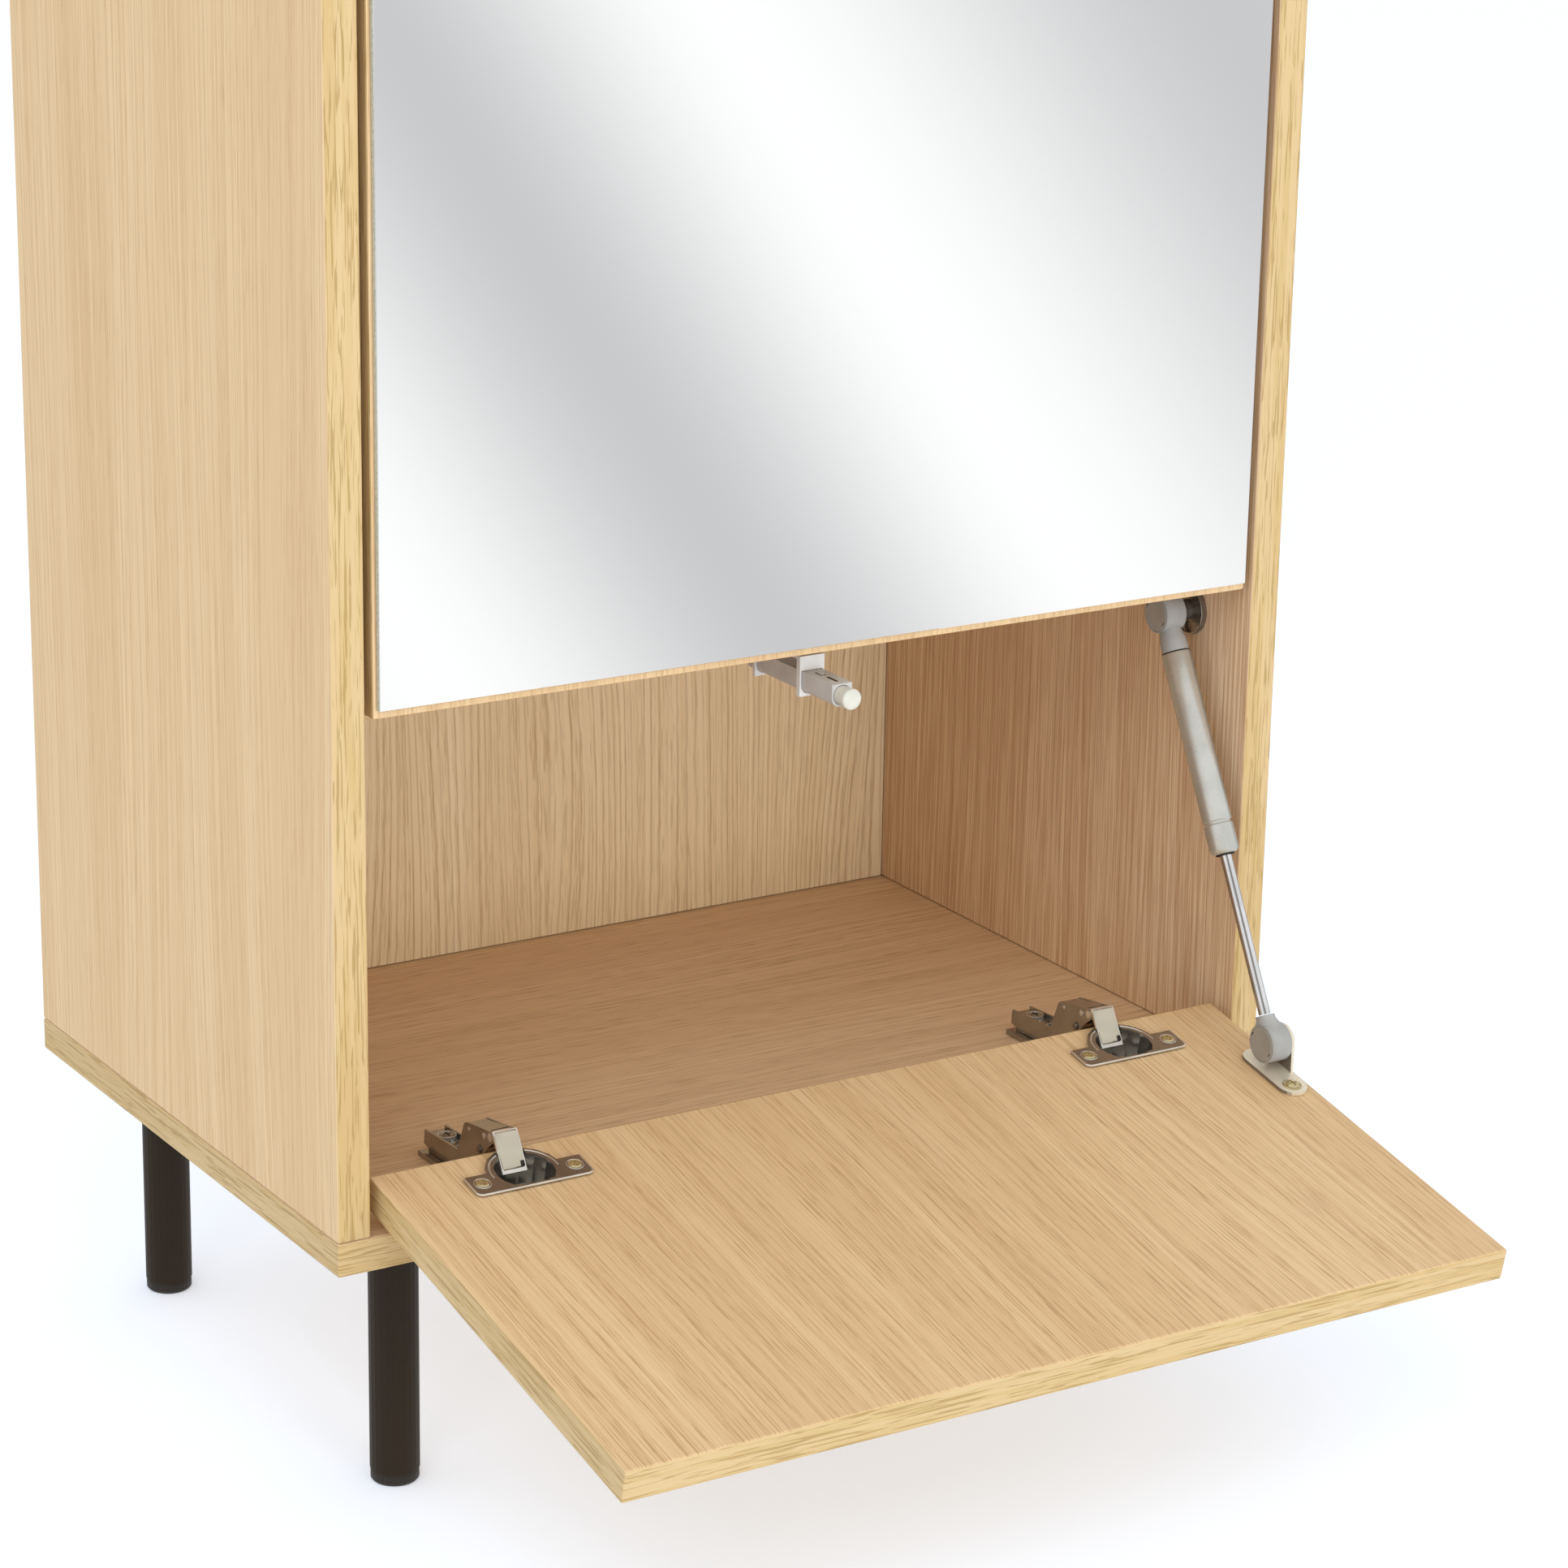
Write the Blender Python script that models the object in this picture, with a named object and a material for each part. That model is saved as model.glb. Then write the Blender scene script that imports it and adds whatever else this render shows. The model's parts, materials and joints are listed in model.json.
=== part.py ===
"""Mirror cabinet on four legs: a tall oak-finish cabinet with a mirror door above a drop-down flap.

Lengths are in metres. The cabinet frame has X measured from the middle, Y backwards from the side panels'
front edges, and Z upwards from the top face of the bottom panel. One empty carries that frame, so that the
world's origin is on the floor, under the middle of the whole piece. The door stands closed and the flap open.
"""

from math import asin, atan2, cos, degrees, hypot, pi, radians, sin

import bmesh
import bpy
from mathutils import Matrix, Vector

# Driving dimensions
WIDTH = 0.522
DEPTH = 0.342
BOARD = 0.0165
SIDE_HEIGHT = 1.639
LEG_LENGTH = 0.1282
GAP = 0.0003
EDGE_ROUND = 0.0009

# Carcass
INNER = WIDTH / 2 - BOARD
SHELF_BOTTOM = 0.2393
SHELF_FRONT = 0.0209
BACK_FRONT = 0.3272
BACK_BOARD = 0.012
LOOSE_SHELVES = {"lower": 0.7170, "upper": 1.1780}
LOOSE_SHELF_FRONT = 0.040
LOOSE_SHELF_SIDE_GAP = 0.0012
PIN_RADIUS = 0.0025
PIN_ROWS_Y = (0.080, 0.290)
PIN_PITCH = 0.032
PIN_DEPTH = 0.009

# Legs
LEG_RADIUS = 0.012
LEG_WALL = 0.0015
LEG_SIDE = 0.0484
LEG_FRONT = 0.0413
GLIDE_HEIGHT = 0.0062
STUD_RADIUS = 0.004
STUD_LENGTH = 0.011

# Door and flap, both closed
FACE = 0.0012
INNER_FACE = FACE + BOARD
DOOR_BOTTOM = 0.2455
DOOR_TOP = SIDE_HEIGHT - 0.0025
DOOR_SIDE_GAP = 0.0045
GLASS = 0.003
GLASS_SIDE_INSET = 0.0017
GLASS_END_INSET = 0.0040
FLAP_BOTTOM = 0.002
FLAP_LENGTH = 0.2415
FLAP_SIDE_GAP = 0.005
FLAP_TURN = radians(101.6)
FLAP_OPEN_CORNER = (0.0112, 0.0252)

# Concealed hinges
FLAP_HINGE_X = (-0.1702, 0.1698)
DOOR_HINGE_Z = {"bottom": 0.350, "middle": 0.941, "top": 1.532}
HINGE_HALF = 0.006
HINGE_SHEET = 0.0012
CUP_S = 0.0215
CUP_RADIUS = 0.0175
CUP_WALL = 0.0011
CUP_DEPTH = 0.0125
CUP_FRONT = 0.0334
CUP_FLANGE = (0.0185, 0.0338)
CUP_HALF = 0.0302
CUP_SHEET = 0.0015
LINK_PIN = (0.0126, 0.0317)
REAR_PIN = (0.0231, 0.0222)
LINK_TURN = radians(41.6)
LINK_HALF = 0.0064

# Gas strut
STRUT_X = 0.2285
EYE_TOP = (0.0485, 0.2238)
EYE_LOW = (-0.0538, 0.0268)
EYE_RADIUS = 0.00975
EYE_HALF = 0.006
EYE_NECK = 0.0058
EYE_BORE = 0.0042
NECK_END = 0.0139
TUBE_TOP = 0.0209
TUBE_END = 0.1252
TUBE_RADIUS = 0.0075
ROD_RADIUS = 0.003
ROD_TOP = 0.1180
BRACKET_S = (0.048, 0.092)

# Push latches
LATCH_Z = 0.2262
LATCH_HALF = 0.0055
LATCH_FRONT = -0.0070
LATCH_BACK = 0.0700
COLLAR_FRONT = 0.0195
COLLAR_DEPTH = 0.0030
PLUNGER_RADIUS = 0.0051
PLUNGER_TIP = -0.0172
DOOR_LATCH_X = 0.235
DOOR_LATCH_Z = 0.930


def pivot_between(closed, opened, turn):
    """Point about which a turn carries the closed (y, z) point to the opened one."""
    half = turn / 2
    middle_y = (closed[0] + opened[0]) / 2
    middle_z = (closed[1] + opened[1]) / 2
    reach = 0.5 / (sin(half) / cos(half))
    return (middle_y - reach * (opened[1] - closed[1]), middle_z + reach * (opened[0] - closed[0]))


FLAP_PIVOT = pivot_between((INNER_FACE, FLAP_BOTTOM), FLAP_OPEN_CORNER, FLAP_TURN)
STRUT_TURN = -atan2(EYE_TOP[0] - EYE_LOW[0], EYE_TOP[1] - EYE_LOW[1])
STRUT_LENGTH = hypot(EYE_TOP[0] - EYE_LOW[0], EYE_TOP[1] - EYE_LOW[1])
DOOR_SHIFT = DOOR_SIDE_GAP - FLAP_BOTTOM

# The origin stands on the floor under the middle of the box that holds the open flap and the cabinet's back.
FLAP_FRONT = FLAP_OPEN_CORNER[0] - FLAP_LENGTH * sin(FLAP_TURN)
FRAME_PLACE = Vector((0, -(DEPTH + FLAP_FRONT) / 2, BOARD + LEG_LENGTH))

MATERIALS = {
    "oak": ((0.62, 0.44, 0.27), 0.55, 0.0),
    "oak_dark": ((0.45, 0.30, 0.18), 0.60, 0.0),
    "mirror": ((0.93, 0.94, 0.94), 0.02, 1.0),
    "black_steel": ((0.045, 0.038, 0.033), 0.45, 0.0),
    "black_plastic": ((0.03, 0.028, 0.026), 0.60, 0.0),
    "nickel": ((0.62, 0.57, 0.50), 0.25, 1.0),
    "satin_silver": ((0.70, 0.69, 0.67), 0.35, 1.0),
    "polished_rod": ((0.80, 0.80, 0.81), 0.10, 1.0),
    "grey_plastic": ((0.33, 0.32, 0.32), 0.45, 0.0),
    "white_plastic": ((0.72, 0.72, 0.71), 0.40, 0.0),
}


def clear_scene():
    """Remove every object of the open file."""
    for old in list(bpy.data.objects):
        bpy.data.objects.remove(old)


def make_material(name):
    """Principled material from the table above."""
    colour, roughness, metallic = MATERIALS[name]
    material = bpy.data.materials.new(name)
    material.use_nodes = True
    shader = material.node_tree.nodes["Principled BSDF"]
    shader.inputs["Base Color"].default_value = (*colour, 1)
    shader.inputs["Roughness"].default_value = roughness
    shader.inputs["Metallic"].default_value = metallic
    material.diffuse_color = (*colour, 1)
    return material


def finished(shape):
    """Mesh of a bmesh whose faces all point out."""
    bmesh.ops.recalc_face_normals(shape, faces=shape.faces)
    mesh = bpy.data.meshes.new("shape")
    shape.to_mesh(mesh)
    shape.free()
    return mesh


def block(low, high, rounding=0.0):
    """Box between two corners, with its edges rounded."""
    shape = bmesh.new()
    bmesh.ops.create_cube(shape, size=1)
    size = [b - a for a, b in zip(low, high)]
    middle = [(a + b) / 2 for a, b in zip(low, high)]
    bmesh.ops.scale(shape, vec=size, verts=shape.verts)
    bmesh.ops.translate(shape, vec=middle, verts=shape.verts)
    if rounding:
        bmesh.ops.bevel(shape, geom=shape.edges[:], offset=rounding, segments=2, profile=0.5, affect="EDGES")
    return finished(shape)


def prism(outline, low, high, along="X"):
    """Outline of (u, v) points swept along one axis: (Y, Z) along X, (X, Z) along Y, (X, Y) along Z."""
    order = {"X": (2, 0, 1), "Y": (0, 2, 1), "Z": (0, 1, 2)}[along]
    shape = bmesh.new()
    ends = []
    for level in (low, high):
        points = [(u, v, level) for u, v in outline]
        ends.append([shape.verts.new([point[k] for k in order]) for point in points])
    for end in ends:
        shape.faces.new(end)
    count = len(outline)
    for i in range(count):
        j = (i + 1) % count
        shape.faces.new((ends[0][i], ends[0][j], ends[1][j], ends[1][i]))
    return finished(shape)


def turned(profile, segments=24):
    """Solid turned about Z from (radius, z) points that start and end on the axis."""
    shape = bmesh.new()
    rings = []
    for radius, z in profile:
        if radius == 0:
            rings.append([shape.verts.new((0, 0, z))])
        else:
            angles = [2 * pi * k / segments for k in range(segments)]
            rings.append([shape.verts.new((radius * cos(a), radius * sin(a), z)) for a in angles])
    for lower, upper in zip(rings, rings[1:]):
        for k in range(segments):
            n = (k + 1) % segments
            if len(lower) == 1:
                shape.faces.new((lower[0], upper[k], upper[n]))
            elif len(upper) == 1:
                shape.faces.new((lower[k], lower[n], upper[0]))
            else:
                shape.faces.new((lower[k], lower[n], upper[n], upper[k]))
    return finished(shape)


def moved(mesh, matrix):
    """The mesh after a transformation."""
    mesh.transform(matrix)
    return mesh


def rod_along_x(centre, radius, low, high, segments=20):
    """Cylinder with its axis along X through a (y, z) centre."""
    mesh = turned([(0, low), (radius, low), (radius, high), (0, high)], segments)
    mesh.transform(Matrix.Rotation(pi / 2, 4, "Y"))
    return moved(mesh, Matrix.Translation((0, centre[0], centre[1])))


def pin_bore(radius, low, high):
    """Cutter for a round bore along Z."""
    return turned([(0, low), (radius, low), (radius, high), (0, high)], 16)


def arc(centre, radius, start, end, steps):
    """Points along an arc, angles in degrees."""
    span = [radians(start + (end - start) * k / steps) for k in range(steps + 1)]
    return [(centre[0] + radius * cos(a), centre[1] + radius * sin(a)) for a in span]


def combined(base, tools, operation):
    """Mesh of an exact Boolean between a base and several tools, one after the other."""
    target = bpy.data.objects.new("target", base)
    bpy.context.scene.collection.objects.link(target)
    helpers = []
    for tool in tools:
        helper = bpy.data.objects.new("helper", tool)
        bpy.context.scene.collection.objects.link(helper)
        helpers.append(helper)
        modifier = target.modifiers.new("combine", "BOOLEAN")
        modifier.operation = operation
        modifier.solver = "EXACT"
        modifier.object = helper
    graph = bpy.context.evaluated_depsgraph_get()
    mesh = bpy.data.meshes.new_from_object(target.evaluated_get(graph))
    for spare in [target, *helpers]:
        bpy.data.objects.remove(spare)
    return mesh


def joined(base, *tools):
    """Union of overlapping meshes."""
    return combined(base, tools, "UNION")


def cut(base, *tools):
    """Base mesh with the tools taken out of it."""
    return combined(base, tools, "DIFFERENCE")


def add_piece(name, mesh, material, place=(0, 0, 0), turn=Matrix.Identity(4), smooth=False):
    """Object with its origin at a place in the cabinet frame; the mesh is given about that origin."""
    if not mesh.users:
        mesh.name = name
        mesh.materials.append(material)
    if smooth:
        mesh.shade_smooth()
        mesh.set_sharp_from_angle(angle=radians(35))
    piece = bpy.data.objects.new(name, mesh)
    bpy.context.scene.collection.objects.link(piece)
    piece.parent = frame
    piece.matrix_local = Matrix.Translation(place) @ turn
    return piece


# Carcass


def side_panel(name, side):
    """Side panel with the blind holes that its shelf pins go into."""
    low, high = sorted((side * INNER, side * WIDTH / 2))
    panel = block((low, 0, GAP), (high, DEPTH, SIDE_HEIGHT), EDGE_ROUND)
    holes = []
    for height in LOOSE_SHELVES.values():
        for row in (-1, 0, 1):
            for y in PIN_ROWS_Y:
                centre = (y, height - PIN_RADIUS + row * PIN_PITCH)
                ends = sorted((side * (INNER - 0.002), side * (INNER + PIN_DEPTH)))
                holes.append(rod_along_x(centre, PIN_RADIUS + GAP, *ends, segments=12))
    add_piece(name, cut(panel, *holes), oak)


def leg_places():
    """Leg names with their (x, y) centres."""
    x = WIDTH / 2 - LEG_SIDE
    back = DEPTH - LEG_FRONT
    return {
        "front_left": (-x, LEG_FRONT),
        "front_right": (x, LEG_FRONT),
        "rear_left": (-x, back),
        "rear_right": (x, back),
    }


def bottom_panel():
    """Bottom panel with a blind hole for each leg's stud."""
    panel = block((-WIDTH / 2, 0, -BOARD), (WIDTH / 2, DEPTH, 0), EDGE_ROUND)
    holes = []
    for x, y in leg_places().values():
        top = STUD_LENGTH + 0.001 - BOARD
        hole = turned([(0, -0.02), (STUD_RADIUS + GAP, -0.02), (STUD_RADIUS + GAP, top), (0, top)], 16)
        holes.append(moved(hole, Matrix.Translation((x, y, 0))))
    add_piece("bottom_panel", cut(panel, *holes), oak)


def carcass():
    """Panels, fixed and loose shelves, and shelf pins."""
    side_panel("left_side_panel", -1)
    side_panel("right_side_panel", 1)
    bottom_panel()
    top_z = SIDE_HEIGHT + GAP
    top = block((-WIDTH / 2, 0, top_z), (WIDTH / 2, DEPTH, top_z + BOARD), EDGE_ROUND)
    add_piece("top_panel", top, oak)
    inside = INNER - GAP
    back = block((-inside, BACK_FRONT, GAP), (inside, BACK_FRONT + BACK_BOARD, SIDE_HEIGHT - GAP), EDGE_ROUND)
    add_piece("back_panel", back, oak_dark)
    shelf_back = BACK_FRONT - GAP
    low = (-inside, SHELF_FRONT, SHELF_BOTTOM)
    high = (inside, shelf_back, SHELF_BOTTOM + BOARD)
    add_piece("divider_shelf", block(low, high, EDGE_ROUND), oak)
    loose = INNER - LOOSE_SHELF_SIDE_GAP
    for level, height in LOOSE_SHELVES.items():
        low = (-loose, LOOSE_SHELF_FRONT, height + GAP)
        high = (loose, shelf_back - 0.001, height + GAP + BOARD)
        add_piece(f"{level}_loose_shelf", block(low, high, EDGE_ROUND), oak)


def shelf_pins():
    """Turned pins with a collar, two at each end of each loose shelf."""
    collar = PIN_RADIUS + 0.0015
    profile = [
        (0, -PIN_DEPTH + GAP),
        (PIN_RADIUS, -PIN_DEPTH + GAP),
        (PIN_RADIUS, GAP),
        (collar, GAP),
        (collar, 0.0009),
        (PIN_RADIUS, 0.0009),
        (PIN_RADIUS, 0.0095),
        (0, 0.0095),
    ]
    pin = turned(profile, 12)
    for level, height in LOOSE_SHELVES.items():
        for side_name, side in (("left", -1), ("right", 1)):
            for depth_name, y in zip(("front", "rear"), PIN_ROWS_Y):
                name = f"{level}_shelf_pin_{side_name}_{depth_name}"
                place = (side * INNER, y, height - PIN_RADIUS)
                add_piece(name, pin, nickel, place, Matrix.Rotation(-side * pi / 2, 4, "Y"))


def legs():
    """Steel tubes closed at the top, each with a stud and a pushed-in plastic glide."""
    top = -BOARD - GAP
    foot = -BOARD - LEG_LENGTH
    tube_end = foot + GLIDE_HEIGHT
    bore = LEG_RADIUS - LEG_WALL
    tube = turned(
        [
            (0, top - 0.003),
            (bore, top - 0.003),
            (bore, tube_end),
            (LEG_RADIUS, tube_end),
            (LEG_RADIUS, top),
            (STUD_RADIUS, top),
            (STUD_RADIUS, top + STUD_LENGTH),
            (0, top + STUD_LENGTH),
        ]
    )
    plug = bore - GAP
    glide = turned(
        [
            (0, foot),
            (LEG_RADIUS - 0.0012, foot),
            (LEG_RADIUS - 0.0003, foot + 0.0012),
            (LEG_RADIUS - 0.0003, tube_end - 0.0018),
            (LEG_RADIUS - 0.0008, tube_end - GAP),
            (plug, tube_end - GAP),
            (plug, tube_end + 0.012),
            (0, tube_end + 0.012),
        ]
    )
    for name, (x, y) in leg_places().items():
        add_piece(f"{name}_leg", tube, black_steel, (x, y, 0), smooth=True)
        add_piece(f"{name}_foot_glide", glide, black_plastic, (x, y, 0), smooth=True)


# Concealed hinges. Their shared frame has X along the hinge axis, Y back from the side panels' front edges
# and Z away from the panel that carries the arm, whose leaf stands closed.


def cup_outline(radius, front, steps=12):
    """Circle about the cup's centre, (x, z), cut straight on the side away from the leaf's edge."""
    centre_z = FLAP_BOTTOM + CUP_S
    reach = FLAP_BOTTOM + front - centre_z
    limit = degrees(asin(reach / radius))
    return arc((0, centre_z), radius, 180 - limit, 360 + limit, steps)


def hinge_pocket():
    """Cutter for the pocket that the cup sinks into."""
    outline = cup_outline(CUP_RADIUS + GAP, CUP_FRONT + GAP)
    return prism(outline, INNER_FACE - CUP_DEPTH - GAP, INNER_FACE + 0.002, "Y")


def hinge_cup():
    """Pressed cup with its flange, one shell open towards the arm; origin on the leaf's pivot."""
    face = INNER_FACE + GAP
    can = prism(cup_outline(CUP_RADIUS, CUP_FRONT), INNER_FACE - CUP_DEPTH, face + CUP_SHEET / 2, "Y")
    low = FLAP_BOTTOM + CUP_FLANGE[0]
    high = FLAP_BOTTOM + CUP_FLANGE[1]
    corner = 0.003
    wing = [(-CUP_HALF, low), (CUP_HALF, low)]
    wing += arc((CUP_HALF - corner, high - corner), corner, 0, 90, 4)
    wing += arc((corner - CUP_HALF, high - corner), corner, 90, 180, 4)
    wings = prism(wing, face, face + CUP_SHEET, "Y")
    disc_top = FLAP_BOTTOM + CUP_FLANGE[1] - 0.0001
    disc_outline = cup_outline(CUP_RADIUS + 0.0012, disc_top - FLAP_BOTTOM)
    disc = prism(disc_outline, face, face + CUP_SHEET, "Y")
    hollow_outline = cup_outline(CUP_RADIUS - CUP_WALL, CUP_FRONT - CUP_WALL / 2)
    hollow = prism(hollow_outline, INNER_FACE - CUP_DEPTH + CUP_WALL, face, "Y")
    mouth = prism(cup_outline(0.0146, 0.0318), face - 0.001, face + 0.003, "Y")
    way_low = (-0.0072, face - 0.001, FLAP_BOTTOM + 0.0052)
    way_high = (0.0072, face + 0.003, FLAP_BOTTOM + 0.0327)
    arm_way = block(way_low, way_high)
    cup = cut(joined(can, wings, disc), hollow, mouth, arm_way)
    return moved(cup, Matrix.Translation((0, -FLAP_PIVOT[0], -FLAP_PIVOT[1])))


def hinge_arm():
    """Channel-shaped arm with its raised nose, the cross pins that hold it together and its link pin."""
    nose = arc(LINK_PIN, 0.0029, 215, 92, 6)
    cheek = [(0.0790, 0.0128), (0.0796, 0.0056), (0.0700, 0.0032), (0.0520, 0.0032)]
    cheek += [(0.0400, 0.0085), (0.0300, 0.0120), (0.0215, 0.0195), (0.0160, 0.0255)]
    cheek += nose
    cheek += [(0.0360, 0.0313), (0.0384, 0.0300), (0.0395, 0.0275), (0.0452, 0.0143)]
    near_cheek = prism(cheek, -HINGE_HALF, HINGE_SHEET - HINGE_HALF)
    far_cheek = prism(cheek, HINGE_HALF - HINGE_SHEET, HINGE_HALF)
    across = HINGE_HALF - HINGE_SHEET / 2
    web = [(0.0786, 0.0102), (0.0786, 0.0114), (0.0440, 0.0114)]
    web += [(0.0385, 0.0112), (0.0385, 0.0100), (0.0440, 0.0102)]
    hood = [(0.0376, 0.0303), (0.0360, 0.0310), (0.0152, 0.0342)]
    hood += [(0.0152, 0.0330), (0.0358, 0.0298), (0.0370, 0.0292)]
    floor = prism(web, -across, across)
    cover = prism(hood, -across, across)
    pins = [rod_along_x(LINK_PIN, 0.0013, -HINGE_HALF - 0.0002, HINGE_HALF + 0.0002, 10)]
    pins.append(rod_along_x(REAR_PIN, 0.0013, -HINGE_HALF - 0.0008, HINGE_HALF + 0.0008, 10))
    return joined(near_cheek, floor, cover, far_cheek, *pins)


def hinge_plate(foot):
    """Mounting plate with the rib that the arm slides over; foot is the level of the panel under it."""
    base = block((-0.0095, 0.0480, foot + GAP), (0.0095, 0.0790, foot + GAP + 0.0025 - min(foot, 0)))
    half = HINGE_HALF - HINGE_SHEET - GAP
    rib = block((-half, 0.0500, foot + 0.0015), (half, 0.0775, 0.0099))
    return joined(base, rib)


def hinge_link():
    """Bright link: a knuckle on the arm's pin and a broad band that reaches into the cup, as when open."""
    pin_y, pin_z = LINK_PIN
    band = [(0.0110, 0.0350), (0.0097, 0.0353), (0.0088, 0.0346)]
    band += [(-0.0008, 0.0178), (0.0004, 0.0171), (0.0098, 0.0337)]
    outer = prism(band, -LINK_HALF, LINK_HALF)
    inner_half = HINGE_HALF - HINGE_SHEET - GAP
    knuckle = rod_along_x(LINK_PIN, 0.0026, -inner_half, inner_half, 12)
    tie_outline = [(0.0098, 0.0337), (0.0092, 0.0350), (0.0135, 0.0343), (0.0126, 0.0320)]
    tie = prism(tie_outline, -inner_half, inner_half)
    hole = rod_along_x(LINK_PIN, 0.0017, -0.02, 0.02, 10)
    side_way = arc(LINK_PIN, 0.0036, 0, 330, 11)
    slots = [prism(side_way, inner_half, 0.02), prism(side_way, -0.02, -inner_half)]
    link = cut(joined(outer, knuckle, tie), hole, *slots)
    return moved(link, Matrix.Translation((0, -pin_y, -pin_z)))


def hinges():
    """Two hinges under the flap and three on the mirror door."""
    arm = hinge_arm()
    cup = hinge_cup()
    link = hinge_link()
    flap_plate = hinge_plate(0.0)
    door_plate = hinge_plate(-DOOR_SHIFT)
    opened = Matrix.Rotation(FLAP_TURN, 4, "X")
    for side, x in zip(("left", "right"), FLAP_HINGE_X):
        name = f"flap_hinge_{side}"
        add_piece(f"{name}_plate", flap_plate, nickel, (x, 0, 0))
        add_piece(f"{name}_arm", arm, nickel, (x, 0, 0))
        add_piece(f"{name}_link", link, nickel, (x, *LINK_PIN))
        add_piece(f"{name}_cup", cup, nickel, (x, *FLAP_PIVOT), opened)
    upright = Matrix.Rotation(pi / 2, 4, "Y")
    folded = upright @ Matrix.Rotation(LINK_TURN, 4, "X")
    wall = DOOR_SHIFT - INNER
    for level, z in DOOR_HINGE_Z.items():
        name = f"door_hinge_{level}"
        add_piece(f"{name}_plate", door_plate, nickel, (wall, 0, z), upright)
        add_piece(f"{name}_arm", arm, nickel, (wall, 0, z), upright)
        add_piece(f"{name}_link", link, nickel, (wall + LINK_PIN[1], LINK_PIN[0], z), folded)
        add_piece(f"{name}_cup", cup, nickel, (wall + FLAP_PIVOT[1], FLAP_PIVOT[0], z), upright)


# Door and flap


def mirror_door():
    """Door panel with the hinge pockets in its back, and the mirror glued to its front."""
    half = INNER - DOOR_SIDE_GAP
    panel = block((-half, FACE, DOOR_BOTTOM), (half, INNER_FACE, DOOR_TOP), EDGE_ROUND)
    pockets = []
    for z in DOOR_HINGE_Z.values():
        place = Matrix.Translation((DOOR_SHIFT - INNER, 0, z)) @ Matrix.Rotation(pi / 2, 4, "Y")
        pockets.append(moved(hinge_pocket(), place))
    axis = (DOOR_SHIFT - INNER + FLAP_PIVOT[1], FLAP_PIVOT[0], 0)
    to_axis = Matrix.Translation(-Vector(axis))
    add_piece("mirror_door_panel", moved(cut(panel, *pockets), to_axis), oak, axis)
    edge = half - GLASS_SIDE_INSET
    low = (-edge, FACE - GAP - GLASS, DOOR_BOTTOM + GLASS_END_INSET)
    high = (edge, FACE - GAP, DOOR_TOP - GLASS_END_INSET)
    add_piece("mirror_glass", moved(block(low, high, 0.0004), to_axis), mirror, axis)


def flap():
    """Drop-down flap, made closed and turned open about its pivot."""
    half = INNER - FLAP_SIDE_GAP
    panel = block((-half, FACE, FLAP_BOTTOM), (half, INNER_FACE, FLAP_BOTTOM + FLAP_LENGTH), EDGE_ROUND)
    pockets = [moved(hinge_pocket(), Matrix.Translation((x, 0, 0))) for x in FLAP_HINGE_X]
    axis = (0, *FLAP_PIVOT)
    mesh = moved(cut(panel, *pockets), Matrix.Translation(-Vector(axis)))
    add_piece("flap_panel", mesh, oak, axis, Matrix.Rotation(FLAP_TURN, 4, "X"))


# Gas strut. Each part is made about the upper or lower pivot, with the strut's axis along Z.


def eye_fitting(sign, neck_end):
    """Plastic eye with a bore for its stud and a neck that points up (1) or down (-1)."""
    ring = rod_along_x((0, 0), EYE_RADIUS, -EYE_HALF, EYE_HALF, 28)
    shoulder = EYE_NECK - 0.0006
    end = sign * neck_end
    neck = turned([(0, 0), (shoulder, 0), (shoulder, sign * 0.0095), (EYE_NECK, end), (0, end)], 20)
    bore = rod_along_x((0, 0), EYE_BORE, -EYE_HALF + 0.002, EYE_HALF + 0.01, 16)
    return cut(joined(ring, neck), bore)


def strut_tube():
    """Steel tube with a rolled groove near its rounded lower end, bored for the rod."""
    top = -TUBE_TOP
    end = -TUBE_END
    groove = end + 0.016
    profile = [
        (0, end),
        (0.0050, end),
        (0.0066, end + 0.0008),
        (TUBE_RADIUS, end + 0.0028),
        (TUBE_RADIUS, groove - 0.0012),
        (TUBE_RADIUS - 0.0007, groove - 0.0004),
        (TUBE_RADIUS - 0.0007, groove + 0.0004),
        (TUBE_RADIUS, groove + 0.0012),
        (TUBE_RADIUS, top - 0.0006),
        (TUBE_RADIUS - 0.0005, top),
        (0, top),
    ]
    return cut(turned(profile, 24), pin_bore(ROD_RADIUS + GAP, end - 0.001, top + 0.001))


def wall_bracket():
    """Round plate on the side panel with its stud and the hole beside it; made about the stud."""
    wall = INNER - GAP - STRUT_X
    plate = rod_along_x((0, 0), 0.0128, wall - 0.0022, wall, 32)
    stud = rod_along_x((0, 0), EYE_BORE - GAP, -EYE_HALF + 0.0024, wall - 0.001, 16)
    collar = rod_along_x((0, 0), 0.0052, EYE_HALF + GAP, wall - 0.001, 20)
    hole = rod_along_x((-0.0012, -0.0088), 0.0032, wall - 0.01, wall + 0.01, 16)
    return cut(joined(plate, collar, stud), hole)


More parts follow.
